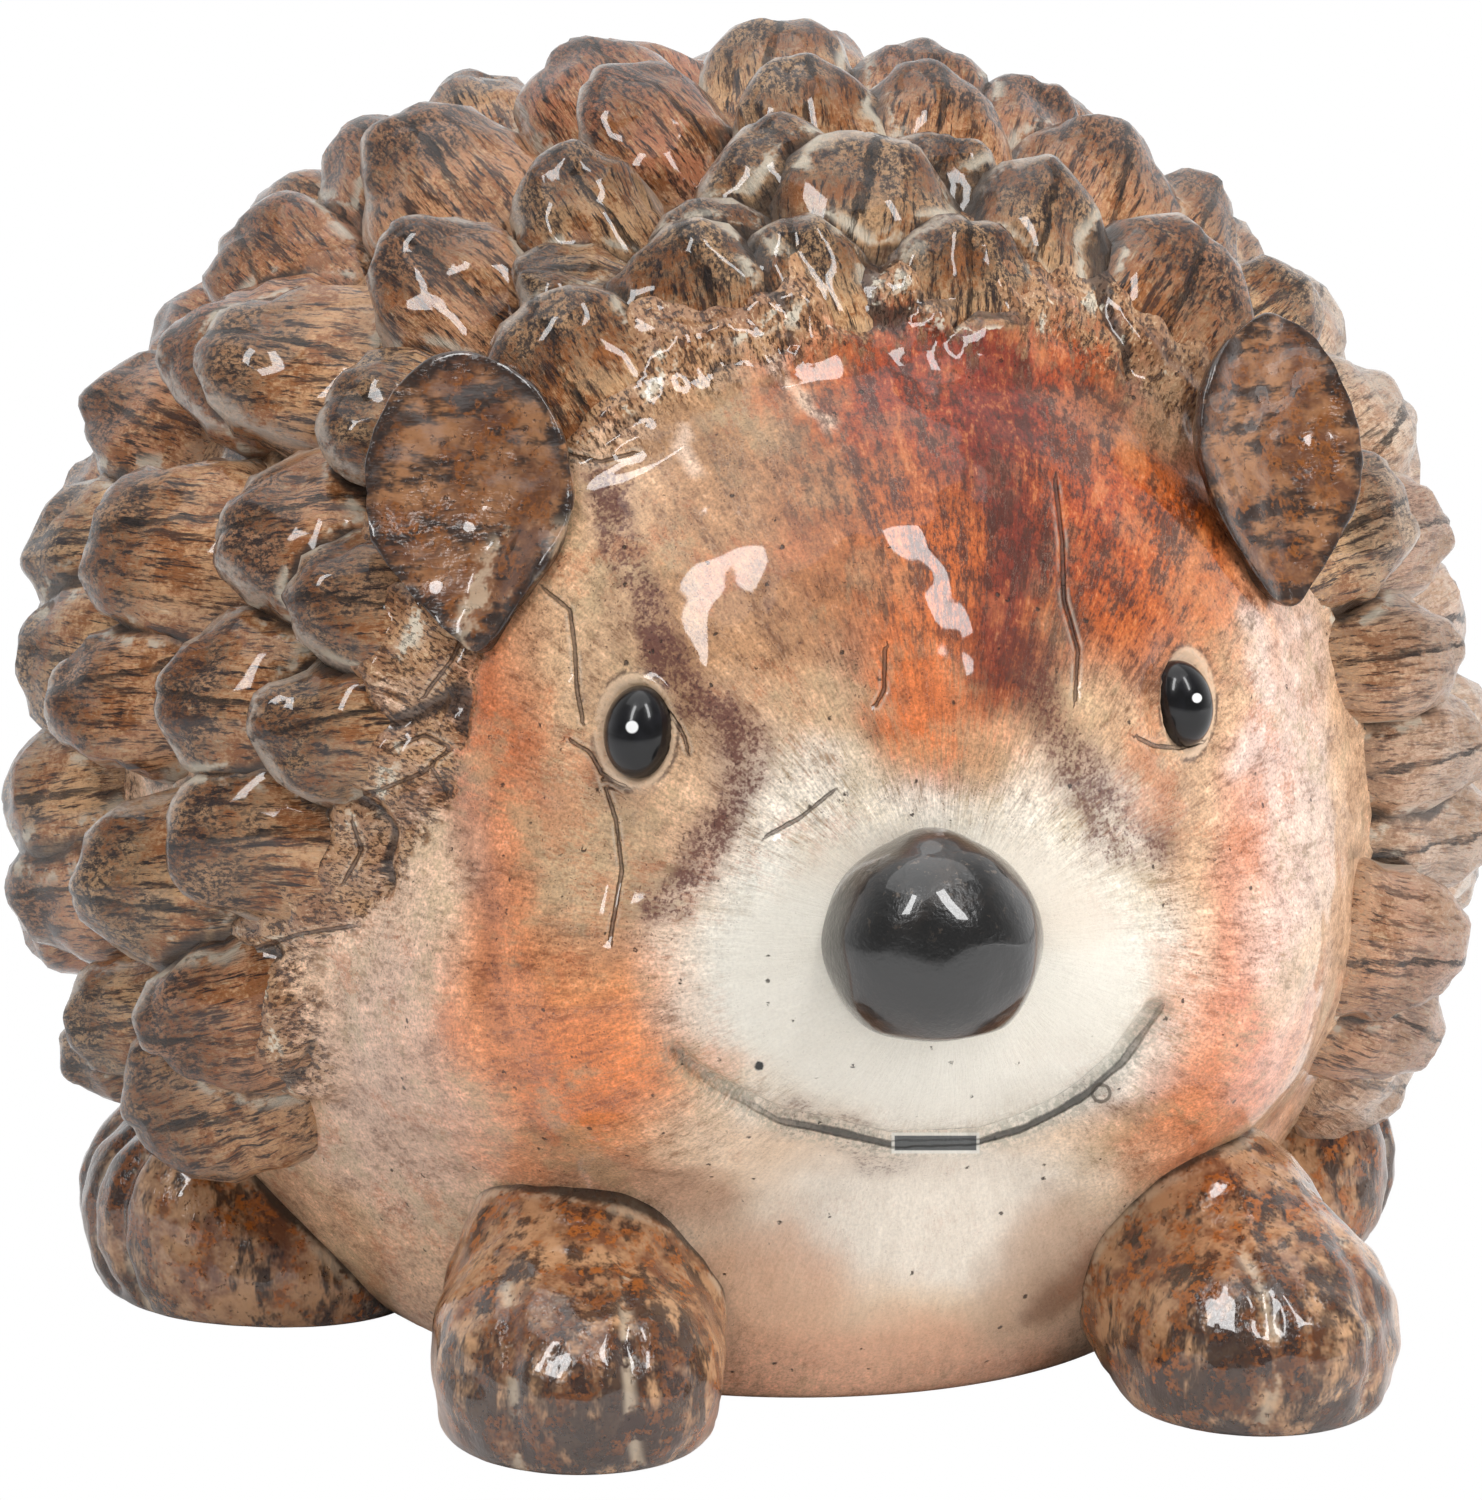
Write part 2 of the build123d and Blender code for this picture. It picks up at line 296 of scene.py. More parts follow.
def addFloat(mesh, name, values):
    layer = mesh.attributes.new(name, "FLOAT", "POINT")
    layer.data.foreach_set("value", np.asarray(values, np.float32))


def addVector(mesh, name, values):
    layer = mesh.attributes.new(name, "FLOAT_VECTOR", "POINT")
    layer.data.foreach_set("vector", np.asarray(values, np.float32).ravel())


def addColour(mesh, name, values):
    layer = mesh.attributes.new(name, "FLOAT_COLOR", "POINT")
    whole = np.concatenate([values, np.ones((len(values), 1))], 1)
    layer.data.foreach_set("color", whole.astype(np.float32).ravel())


def addPiece(name, points, faces, material):
    mesh = bpy.data.meshes.new(name)
    mesh.from_pydata((points * mm).tolist(), [], faces)
    mesh.materials.append(material)
    mesh.polygons.foreach_set("use_smooth", [True] * len(mesh.polygons))
    piece = bpy.data.objects.new(name, mesh)
    bpy.context.scene.collection.objects.link(piece)
    return piece


def rough(points, scale, seed):
    return np.array([noise.noise(Vector(p) * scale + Vector((seed, seed * 0.7, -seed))) for p in points])


def strokeDistance(across, down, places):
    best = np.full(len(across), 1e9)
    for (x0, y0), (x1, y1) in zip(places, places[1:]):
        dx, dy = x1 - x0, y1 - y0
        share = np.clip(((across - x0) * dx + (down - y0) * dy) / (dx * dx + dy * dy), 0, 1)
        best = np.minimum(best, np.hypot(across - x0 - share * dx, down - y0 - share * dy))
    return best


# distance to the nearest of several lines, without and with the side it lies on
def linesNear(across, down, lines):
    best = np.full(len(across), 1e9)
    sided = np.full(len(across), 1e9)
    for places in lines:
        for (x0, y0), (x1, y1) in zip(places, places[1:]):
            dx, dy = x1 - x0, y1 - y0
            length = math.hypot(dx, dy)
            share = np.clip(((across - x0) * dx + (down - y0) * dy) / length ** 2, 0, 1)
            far = np.hypot(across - x0 - share * dx, down - y0 - share * dy)
            side = ((across - x0) * dy - (down - y0) * dx) / length
            sided = np.where(far < best, np.where(side < 0, -far, far), sided)
            best = np.minimum(best, far)
    return best, sided


# body: the casting and the muzzle pad as one skin, millimetres from its own start point
bodySizes = {
    "start": (0.0, -10.0, 48.0),
    "axisTip": (0.0, -1.0, -0.06),
    "segments": 420,
    "faceRings": 128,
    "backRings": 60,
    "faceAngle": 68.0,
    "floorBlend": 2.0,
    "ovals": [
        ("trunk", (0, 8.13, 49), (62.5, 62.5, 62.5), 0.1),
        ("head", (0, -20.9, 53), (46, 46, 46), 9),
        ("chest", (0, -14, 17), (39, 38.5, 26.5), 9),
        ("left cheek", (21, -24, 39), (24, 40, 22), 9),
        ("right cheek", (-21, -24, 39), (24, 40, 22), 9),
        ("muzzle", (-1.0, -49, 44), (24.5, 21.5, 17.5), 7),
    ],
    "creaseDepth": 1.5,
    "creaseWidth": 0.75,
    "jawDepth": 0.9,
    "jawWidth": 3.2,
    "crackDepth": 0.3,
    "crackWidth": 4.5,
    "slotDepth": 0.9,
    "socketDepth": 1.3,
    "lidHeight": 0.7,
    "grainHeight": 0.35,
    "seamSwell": 0.5,
    "seamWidth": 1.3,
    "ruffBack": 3.5,
    "ruffBlend": 8.0,
    "ruffShares": (0.92, 1.12, 0.92),
    "ruffFolds": 13.0,
    "foldDepth": 1.3,
    "lidReach": (1.25, 0.14),
    "socketReach": 1.9,
    "browPaint": 2.6,
    "partingDepth": 0.65,
    "napeRuff": 3.0,
    "pixelsPerMm": 10.4,
    "behind": 20.0,
}
# face features by their place in the picture
mouthLine = [(676, 1052), (690, 1068), (720, 1088), (778, 1120), (838, 1132), (888, 1144),
             (978, 1142), (1024, 1128), (1060, 1110), (1086, 1094), (1122, 1062), (1160, 1010)]
slotPlace = (895, 976, 1136, 1150)
jawLine = [(440, 800), (462, 870), (482, 930), (505, 1040), (545, 1150), (620, 1190), (720, 1205)]
crackLines = [
    [(545, 590), (570, 610), (575, 650), (577, 690), (583, 720)],
    [(600, 770), (616, 820), (622, 870), (610, 940)],
    [(885, 650), (884, 690), (876, 705)],
    [(1055, 480), (1062, 540), (1064, 600), (1078, 650), (1075, 700)],
    [(768, 835), (800, 818), (832, 792)],
    [(560, 452), (600, 462), (638, 452)],
    [(1150, 1200), (1100, 1290)],
    [(572, 742), (590, 752), (600, 770), (611, 780), (624, 786)],
    [(664, 706), (676, 722), (684, 736), (688, 750)],
    [(1138, 738), (1154, 746), (1180, 748), (1202, 742)],
    [(392, 748), (425, 735), (452, 748), (430, 764), (446, 790)],
    [(425, 694), (452, 660), (474, 612)],
    [(250, 768), (330, 800), (380, 790), (424, 772)],
    [(345, 880), (362, 850), (352, 820)],
    [(185, 950), (250, 950), (300, 934), (352, 926)],
]
fringeLine = [(478, 560), (452, 640), (436, 700), (420, 770), (372, 850), (330, 900)]
eyePlaces = {"right": ((635, 731), (30.5, 43)), "left": ((1188, 702), (20.5, 41))}
# small marks: across, down and radius
spotPlace = (759, 1066, 5)
markPlace = (1101, 1093, 9)
# where the fringe thins above the brow: its middle and half width
partingPlace = (965, 100)
# where the mouth line is darkest: its middle, and where it is full and gone to either side
smilePlace = (955, 120, 250)
# the pale patches that the paint keeps clean: middle and half sizes
palePlaces = {"muzzle": ((930, 980), (250, 170)), "chest": ((900, 1240), (260, 170))}


def bodyReach(rays):
    reach = None
    for name, centre, halves, width in bodySizes["ovals"]:
        far = ovalReach(bodySizes["start"], rays, centre, halves)
        reach = far if reach is None else joined(reach, far, width)
    down = -rays[:, 2]
    under = np.where(down > 1e-3, bodySizes["start"][2] / np.maximum(down, 1e-3), 1e9)
    return -joined(-reach, -np.minimum(under, 1e3), bodySizes["floorBlend"])


def bodyGap(points):
    away = points - np.asarray(bodySizes["start"])
    far = np.linalg.norm(away, axis=1)
    return far - bodyReach(away / far[:, None])


# the skin running up the roots of the first row of quills
def ruffReach(rays):
    sizes = bodySizes
    start = np.array(sizes["start"])
    reach = bodyReach(rays)
    for ring, place, axes, stretch in laid:
        if ring > 0:
            continue
        halves = (quillSizes["halfLength"], quillSizes["halfWidth"], quillSizes["topHeight"])
        shares = np.array(stretch) * halves
        centre = place - axes[:, 0] * sizes["ruffBack"] * stretch[0]
        toward = (centre - start) / np.linalg.norm(centre - start)
        near = rays @ toward > 0.85
        far = ovalReach(start, rays[near], centre, shares * sizes["ruffShares"], axes)
        reach[near] = joined(reach[near], far, sizes["ruffBlend"])
    return reach


# the paint, brushed on in layers: place and half sizes in the picture, turn, softness, strength, colour;
# the colours were chosen beside tones measured at spots of the photograph; a few layers are painted light
# and painted shade, as marked
basePaint = (214, 178, 148)
paintBlobs = [
    # the chest's own pale paint, made paler still as painted light thrown up from the white floor
    (900, 1250, 270, 180, 0, 0.6, 0.9, (240, 218, 194)),
    (935, 1215, 170, 80, 0, 0.7, 0.9, (242, 234, 222)),
    (900, 1375, 220, 50, 0, 0.8, 0.8, (228, 180, 152)),
    (760, 1290, 90, 60, 0, 0.8, 0.6, (214, 168, 138)),
    (1060, 1270, 90, 60, -30, 0.8, 0.6, (184, 146, 118)),
    (400, 900, 90, 260, 0, 0.6, 0.9, (220, 190, 166)),
    (430, 1080, 110, 130, 0, 0.7, 0.7, (216, 182, 162)),
    (340, 1100, 90, 90, 0, 0.7, 0.6, (202, 170, 148)),
    (560, 1040, 125, 130, 20, 0.9, 0.9, (214, 138, 92)),
    (590, 1085, 80, 70, 0, 0.9, 0.6, (216, 124, 74)),
    (500, 790, 50, 210, -4, 0.9, 0.8, (196, 122, 84)),
    (510, 670, 40, 90, 10, 0.9, 0.7, (182, 98, 60)),
    (1215, 1070, 105, 110, -20, 0.9, 0.8, (220, 140, 102)),
    (1262, 880, 40, 250, 4, 0.9, 0.7, (214, 150, 128)),
    # painted highlight: a near-white band down the right cheek, for the sheen of the light from the right
    (1290, 820, 34, 220, 3, 0.9, 0.6, (224, 204, 194)),
    (620, 640, 110, 150, 0, 0.8, 0.6, (204, 172, 138)),
    (590, 860, 70, 130, 0, 0.9, 0.6, (176, 142, 112)),
    (760, 540, 110, 180, 10, 0.9, 0.8, (164, 120, 84)),
    (700, 420, 70, 60, 0, 0.9, 0.7, (150, 112, 78)),
    (800, 760, 100, 80, 0, 0.9, 0.7, (190, 158, 130)),
    (1120, 720, 90, 120, 0, 0.9, 0.7, (186, 152, 122)),
    (1150, 820, 60, 60, 0, 0.9, 0.5, (150, 118, 94)),
    (990, 460, 190, 190, 0, 0.8, 0.95, (122, 52, 16)),
    (900, 380, 140, 90, 0, 0.8, 0.8, (146, 62, 18)),
    (1150, 560, 100, 120, -15, 0.9, 0.9, (160, 74, 28)),
    (1040, 380, 60, 80, 0, 0.9, 0.5, (160, 72, 28)),
    (930, 640, 80, 150, -8, 0.8, 0.8, (190, 104, 62)),
    (905, 710, 44, 110, 0, 0.9, 0.75, (196, 110, 68)),
    (1030, 640, 60, 90, 10, 0.9, 0.7, (118, 58, 34)),
    (840, 560, 70, 80, 0, 0.9, 0.5, (156, 96, 62)),
    (930, 960, 262, 170, 4, 0.42, 1.0, (234, 229, 218)),
    (850, 830, 120, 70, 30, 0.8, 0.8, (232, 222, 208)),
    (1060, 850, 90, 90, -20, 0.8, 0.8, (230, 220, 206)),
    (935, 1090, 180, 40, 0, 0.9, 0.7, (240, 236, 226)),
# the muzzle's white, made whiter above the mouth line as a painted highlight on the lip's edge
]
paintStrokes = [
    # painted shade: dark strokes under the cheeks, where the head overhangs the chest and the paws
    ([(560, 1170), (640, 1190), (720, 1200)], 26, 0.5, (176, 128, 104)),
    ([(1060, 1300), (1140, 1240), (1220, 1190)], 26, 0.6, (122, 88, 70)),
    ([(770, 340), (790, 380), (820, 430)], 7, 0.8, (226, 200, 180)),
    ([(680, 440), (700, 480)], 7, 0.7, (226, 200, 180)),
    # painted highlight: a pale band down the right side of the head, for the sheen of the light from the
    # right
    ([(1240, 620), (1262, 700), (1250, 760)], 16, 0.6, (222, 204, 196)),
    ([(985, 330), (1000, 420), (1010, 500), (1004, 590), (998, 680)], 36, 0.7, (112, 38, 14)),
]
# stippled strokes, dabbed on dark: half width and strength
stippleStrokes = [
    ([(598, 480), (620, 550), (650, 625), (700, 690), (735, 745)], 25, 1.0),
    ([(735, 745), (745, 790), (712, 840), (655, 905)], 24, 0.9),
    ([(1010, 640), (1050, 710), (1092, 790), (1120, 830), (1155, 850)], 32, 0.8),
    ([(985, 340), (1000, 420), (1010, 500), (1004, 590), (998, 680)], 30, 0.55),
    ([(440, 800), (462, 860), (482, 920), (505, 1040), (540, 1150)], 24, 0.4),
    ([(800, 1118), (870, 1140), (890, 1160)], 22, 0.55),
    ([(1080, 1095), (1130, 1112), (1160, 1080)], 26, 0.5),
    ([(600, 600), (590, 700), (640, 860), (620, 960)], 30, 0.4),
    ([(740, 600), (830, 650), (860, 720)], 40, 0.35),
]


def paintBody(points, facing):
    across, down = sightOf(points)
    wobble = rough(points, 0.11, 3.0) * 26 + rough(points, 0.35, 9.0) * 9
    sway = rough(points, 0.12, 17.0) * 24 + rough(points, 0.4, 23.0) * 8
    across, down = across + wobble, down + sway
    colour = np.tile(np.array(ink(*basePaint)[:3]), (len(points), 1))
    rust = np.zeros(len(points))
    for x, y, halfWide, halfTall, turn, softness, strength, shade in paintBlobs:
        spin = math.radians(turn)
        along = (across - x) * math.cos(spin) + (down - y) * math.sin(spin)
        beside = (down - y) * math.cos(spin) - (across - x) * math.sin(spin)
        far = np.hypot(along / halfWide, beside / halfTall)
        share = (eased(-far, -1 - softness / 2, -1 + softness / 2) * strength * facing)[:, None]
        if shade[0] > shade[1] * 1.9:
            rust = np.maximum(rust, share[:, 0])
        colour = colour * (1 - share) + np.array(ink(*shade)[:3]) * share
    for places, halfWide, strength, shade in paintStrokes:
        far = strokeDistance(across, down, places)
        share = (eased(-far, -halfWide * 1.5, -halfWide * 0.3) * strength * facing)[:, None]
        colour = colour * (1 - share) + np.array(ink(*shade)[:3]) * share
    grey = colour.mean(1)[:, None]
    stipple = np.zeros(len(points))
    for places, halfWide, strength in stippleStrokes:
        far = strokeDistance(across, down, places)
        stipple = np.maximum(stipple, eased(-far, -halfWide * 1.7, -halfWide * 0.2) * strength * facing)
    return np.clip(grey + (colour - grey) * 1.14, 0.01, 1), stipple, rust


def faceColour(tree):
    place = node(tree, "ShaderNodeTexCoord", {}, {}, 3)
    brush = attribute(tree, "brush", 1)
    paint = attribute(tree, "paint", 0)
    white = attribute(tree, "pale")
    stipple = attribute(tree, "stipple")
    rust = attribute(tree, "rust")
    seam = attribute(tree, "seam")
    line = attribute(tree, "lineSide").size()
    lineFar = attribute(tree, "lineFar")
    lip = attribute(tree, "mouthSide").size()
    lipFar = attribute(tree, "mouthFar")
    slot = attribute(tree, "slotAcross").size().floor(attribute(tree, "slotDown").size())
    slot = slot + attribute(tree, "hidden")
    lid = attribute(tree, "lid") + attribute(tree, "hidden")
    mark = attribute(tree, "mark")
    streak = fine(tree, brush, 7.0, 5.0, 0.7)
    wide = fine(tree, stretched(tree, brush, (1.0, 1.0, 0.35)), 2.6, 4.0, 0.65)
    cloud = fine(tree, place, 260.0, 4.0, 0.7)
    speck = fine(tree, place, 1700.0, 2.0, 0.7)
    grains = fine(tree, place, 3300.0, 2.0, 0.6)
    patch = fine(tree, place, 95.0, 3.0, 0.6)
    drift = fine(tree, stretched(tree, place, (1.0, 1.0, 1.0), (3.0, 7.0, 5.0)), 120.0, 3.0, 0.6)
    pores = node(tree, "ShaderNodeTexVoronoi", {}, {"Vector": place, "Scale": 420.0})
    strength = 1.0 - 0.93 * white
    brushed = fine(tree, brush, 15.0, 4.0, 0.75)
    mottle = (streak - 0.5) * 0.9 + (brushed - 0.5) * 0.9 + (cloud - 0.5) * 0.8 + (wide - 0.5) * 0.6
    mottle = mottle * strength
    shaded = tinted(tree, mottle.ramp(-0.05, 0.32), paint, (0.44, 0.35, 0.29, 1.0))
    lit = tinted(tree, (-mottle).ramp(0.0, 0.34), shaded, (1.4, 1.4, 1.42, 1.0))
    colour = blend(tree, (-mottle).ramp(0.16, 0.4) * 0.25, lit, ink(236, 212, 186))
    patches = (patch + (streak - 0.5) * 0.4).ramp(0.5, 0.64) * strength
    colour = blend(tree, patches * (0.4 - 0.25 * rust), colour, ink(190, 170, 132))
    drifts = (drift + (brushed - 0.5) * 0.5).ramp(0.54, 0.68) * strength
    colour = blend(tree, drifts * 0.4, colour, ink(204, 118, 72))
    grainy = 1.0 + (grains - 0.5) * 1.7 * (1.0 - 0.85 * white)
    grainShade = node(tree, "ShaderNodeCombineColor", {}, {0: grainy, 1: grainy, 2: grainy})
    colour = tinted(tree, 1.0, colour, grainShade)
    burnt = (mottle + (wide - 0.5) * 0.5).ramp(-0.06, 0.16)
    colour = blend(tree, rust * burnt * 0.8, colour, ink(60, 24, 12))
    unburnt = (-mottle - (wide - 0.5) * 0.8).ramp(0.1, 0.3)
    colour = blend(tree, rust * unburnt * 0.5, colour, ink(206, 128, 70))
    scraped = (streak - 0.5).size().ramp(0.01, 0.0) * wide.ramp(0.48, 0.62)
    colour = blend(tree, scraped * strength * 0.3, colour, ink(240, 222, 202))
    dabs = stipple * 0.7 + (grains - 0.5) * 2.6 + (speck - 0.5) * 1.6 + (cloud - 0.5) * 1.6
    dabs = dabs.ramp(0.15, 0.95)
    dabbed = blend(tree, rust, ink(98, 56, 48), ink(92, 34, 14))
    colour = blend(tree, stipple.ramp(0.0, 0.9) * (0.22 + 0.7 * dabs), colour, dabbed)
    dots = grains.ramp(0.6, 0.7) * (cloud + (wide - 0.5) * 0.5).ramp(0.36, 0.56)
    dots = dots * (1.0 - 0.8 * white)
    colour = blend(tree, dots * 0.7, colour, ink(62, 38, 30))
    pin = pores.ramp(0.12, 0.07) * speck.ramp(0.5, 0.6)
    colour = blend(tree, pin * 0.85, colour, ink(70, 56, 48))
    ruff = attribute(tree, "ruff")
    finer = fine(tree, brush, 19.0, 4.0, 0.7)
    frayed = ruff * 0.8 + (streak - 0.5) * 9.0 + (wide - 0.5) * 4.0 + (1.6 - seam).floor(0.0)
    fringed = (ruff + (1.6 - seam).floor(0.0)).ramp(0.05, 0.7)
    colour = blend(tree, frayed.ramp(0.4, 2.4) * fringed * 0.9, colour,
                   blend(tree, cloud.ramp(0.38, 0.62), ink(134, 86, 50), ink(186, 142, 102)))
    combed = (finer + (streak - 0.5) * 0.5).ramp(0.52, 0.64) * (ruff + (wide - 0.5) * 3.0).ramp(0.4, 2.0)
    colour = blend(tree, combed * ruff.ramp(0.2, 0.9) * 0.85, colour, ink(62, 38, 30))
    colour = blend(tree, finer.ramp(0.42, 0.34) * ruff.ramp(0.4, 2.0) * 0.6, colour, ink(222, 196, 160))
    # painted shade: dark in the folds of the ruff
    foldShade = attribute(tree, "foldShade") + (finer - 0.5) * 0.8
    foldShade = foldShade.ramp(0.3, 0.75) * attribute(tree, "foldShade").ramp(0.05, 0.3)
    colour = blend(tree, foldShade * 0.8, colour, ink(50, 36, 30))
    flecks = seam.ramp(2.0, 1.1) * (1.0 - seam.ramp(0.9, 0.4)) * cloud.ramp(0.53, 0.58)
    colour = blend(tree, flecks * 0.8, colour, ink(222, 212, 192))
    # painted shade where the skin runs into the quills, together with the dark glaze pooled there
    creviceShade = (seam + (cloud - 0.5) * 3.4).ramp(0.7, 0.1) * ruff.ramp(2.2, 0.8)
    colour = blend(tree, creviceShade * 0.9, colour, ink(60, 56, 50))
    thin = (line + (speck - 0.5) * 0.2 + (cloud - 0.5) * 0.3).ramp(0.24, 0.08)
    thin = thin * (lineFar + (cloud - 0.5) * 1.6).ramp(0.9, 0.4)
    edge = (line.ramp(0.75, 0.35) - line.ramp(0.4, 0.25)).floor(0.0) * lineFar.ramp(0.9, 0.6)
    colour = blend(tree, edge * cloud.ramp(0.4, 0.6) * 0.3, colour, ink(232, 222, 204))
    colour = blend(tree, thin * 0.66, colour, ink(70, 52, 44))
    lips = (lip + (cloud - 0.5) * 0.7).ramp(0.42, 0.14) * lipFar.ramp(1.0, 0.6)
    # a speckled grey-green band along both sides of the mouth line
    nearMouthGrey = (lip + (cloud - 0.5) * 3.0).ramp(2.4, 0.4) * lipFar.ramp(2.6, 1.0) * speck.ramp(0.4, 0.6)
    colour = blend(tree, nearMouthGrey * 0.45, colour, ink(132, 136, 118))
    lips = lips * (0.1 + 0.9 * attribute(tree, "smile"))
    colour = blend(tree, lips * 0.9, colour, ink(58, 56, 50))
    ring = lid.ramp(1.46, 1.28) * (cloud + (speck - 0.5) * 0.4).ramp(0.3, 0.5)
    colour = blend(tree, ring * 0.7, colour, ink(224, 194, 164))
    lash = ((lid - 1.42).size() * 10.0 + (speck - 0.5) * 1.4 + (cloud - 0.5) * 5.0).ramp(1.1, 0.3)
    colour = blend(tree, lash * cloud.ramp(0.42, 0.54) * 0.75, colour, ink(72, 48, 38))
    marked = (mark.size() + attribute(tree, "hidden")).ramp(1.1, 0.5)
    colour = blend(tree, marked * 0.8, colour, ink(84, 74, 62))
    colour = blend(tree, attribute(tree, "spot").ramp(1.2, 0.8), colour, ink(24, 22, 22))
    colour = blend(tree, slot.ramp(1.6, 1.4) * 0.8, colour, ink(236, 234, 226))
    colour = blend(tree, slot.ramp(1.12, 0.98), colour, ink(84, 86, 86))
    height = streak * 0.25 + cloud * 0.2 - pin * 1.2 - dots * 0.1
    height = height - thin * 0.9 - lips * 1.2 - combed * 0.4
    return colour, height, 0.0005


def makeBody():
    sizes = bodySizes
    start = np.array(sizes["start"])
    face = np.radians(sizes["faceAngle"])
    angles = np.concatenate([np.linspace(0, face, sizes["faceRings"], endpoint=False),
                             np.linspace(face, math.pi, sizes["backRings"])])
    points, faces, rays = makeSkin(start, sizes["axisTip"], (0, 0, 1), angles,
                                   sizes["segments"], ruffReach)
    normals = outwardNormals(points, faces)
    across, down = sightOf(points)
    toEye = eyePoint - points
    toEye /= np.linalg.norm(toEye, axis=1)[:, None]
    facing = eased((normals * toEye).sum(1), 0.02, 0.22)
    brown = eased(-strokeDistance(across, down, fringeLine) + rough(points, 0.3, 83.0) * 12, -52, -22)
    ruff = ruffReach(rays) - bodyReach(rays) + brown * facing * sizes["browPaint"]
    rise = rough(points, 0.07, 5.0) * sizes["grainHeight"] * 2.0
    rise += rough(points, 0.3, 8.0) * sizes["grainHeight"] * 0.35
    rise *= eased(points[:, 2], 0.2, 4.0)
    pixels = sizes["pixelsPerMm"]
    mouth = strokeDistance(across, down, mouthLine) / pixels
    rise -= np.exp(-(mouth / sizes["creaseWidth"]) ** 2) * sizes["creaseDepth"] * facing
    jaw = strokeDistance(across, down, jawLine) / pixels
    rise -= np.exp(-(jaw / sizes["jawWidth"]) ** 2) * sizes["jawDepth"] * facing
    left, right, top, bottom = slotPlace
    inSlot = eased(across, left - 6, left + 4) * eased(-across, -right - 6, -right + 4)
    inSlot = inSlot * eased(down, top - 6, top + 4) * eased(-down, -bottom - 6, -bottom + 4)
    rise -= inSlot * sizes["slotDepth"] * facing
    spin = np.arctan2(rays[:, 0], rays[:, 2])
    fold = np.abs(np.sin(spin * sizes["ruffFolds"] + rough(points, 0.12, 71.0) * 2.5))
    rise -= (1 - fold) ** 2 * sizes["foldDepth"] * eased(ruff, 0.4, 2.5)
    rise += rough(points, 0.35, 73.0) * eased(ruff, 0.4, 2.5)
    # where the ruff's folds lie, for their painted shade
    foldShade = eased(1 - fold, 0.55, 0.95) * eased(ruff, 0.8, 2.5)
    crack = linesNear(across, down, crackLines)[0]
    rise -= np.exp(-(crack / sizes["crackWidth"]) ** 2) * sizes["crackDepth"] * facing
    for (x, y), (halfWide, halfTall) in eyePlaces.values():
        far = np.hypot((across - x) / halfWide, (down - y) / halfTall)
        lidMiddle, lidWidth = sizes["lidReach"]
        lidRise = np.exp(-((far - lidMiddle) / lidWidth) ** 2) * sizes["lidHeight"]
        socket = np.exp(-(far / sizes["socketReach"]) ** 4) * sizes["socketDepth"]
        rise += (lidRise - socket) * facing
    seam = nearQuills(points, laid, rootward=0.0)
    rise += np.exp(-(seam / sizes["seamWidth"]) ** 2) * sizes["seamSwell"] * eased(seam, 0.0, 0.3)
    points = points + normals * rise[:, None]
    points[:, 2] = np.maximum(points[:, 2], 0)
    across, down = sightOf(points)
    crack, crackSide = linesNear(across, down, crackLines)
    mouthFar, mouthSide = linesNear(across, down, [mouthLine])
    colour, stipple, rust = paintBody(points, facing)
    piece = addPiece("body", points, faces, glaze("faceGlaze", faceColour, roughness=0.4, specular=0.3))
    addColour(piece.data, "paint", colour)
    away = (1 - facing) * sizes["behind"]
    addFloat(piece.data, "stipple", stipple)
    addFloat(piece.data, "rust", rust)
    addFloat(piece.data, "seam", seam)
    addFloat(piece.data, "lineSide", crackSide / pixels)
    addFloat(piece.data, "lineFar", crack / pixels + away)
    addFloat(piece.data, "mouthSide", mouthSide / pixels)
    addFloat(piece.data, "mouthFar", mouthFar / pixels + away)
    halfTall = (bottom - top) / 2
    beside = across - np.clip(across, left + halfTall, right - halfTall)
    addFloat(piece.data, "slotAcross", beside / halfTall)
    addFloat(piece.data, "slotDown", (down - (top + bottom) / 2) / halfTall)
    addFloat(piece.data, "hidden", away)
    lids = [np.hypot((across - x) / halfWide, (down - y) / halfTall)
            for (x, y), (halfWide, halfTall) in eyePlaces.values()]
    addFloat(piece.data, "lid", np.minimum(*lids))
    ringOff = np.hypot(across - markPlace[0], down - markPlace[1]) - markPlace[2]
    addFloat(piece.data, "mark", ringOff / 2)
    parting = np.exp(-((across - partingPlace[0]) / partingPlace[1]) ** 2) * facing
    combed = ruff * (1 - sizes["partingDepth"] * parting)
    ahead = quillFrame(0.0, 0.0, 0.0, 0.0)[0]
    fromMiddle = points - np.array(quillSizes["trunkCentre"])
    straight = fromMiddle @ ahead / np.linalg.norm(fromMiddle, axis=1)
    behind = np.degrees(np.arccos(np.clip(straight, -1, 1)))
    nape = eased(behind, 72, 82) * eased(points[:, 2], 12, 20)
    combed = np.maximum(combed, sizes["napeRuff"] * nape)
    addFloat(piece.data, "ruff", combed)
    addFloat(piece.data, "foldShade", foldShade)
    spotFar = np.hypot(across - spotPlace[0], down - spotPlace[1])
    addFloat(piece.data, "spot", spotFar / spotPlace[2] + away)
    smileMiddle, full, gone = smilePlace
    addFloat(piece.data, "smile", eased(-np.abs(across - smileMiddle), -gone, -full))
    muzzle, chest = (np.hypot((across - x) / halfWide, (down - y) / halfTall)
                     for (x, y), (halfWide, halfTall) in palePlaces.values())
    pale = np.maximum(eased(-muzzle, -1.15, -0.7), eased(-chest, -1.3, -0.5) * 0.85)
    addFloat(piece.data, "pale", pale * facing)
    middle = rays @ np.array((0, -1.0, 0))
    brush = np.stack([np.cos(spin) * 8, np.sin(spin) * 8, np.arccos(np.clip(middle, -1, 1)) * 5], 1)
    addVector(piece.data, "brush", brush)
    return piece


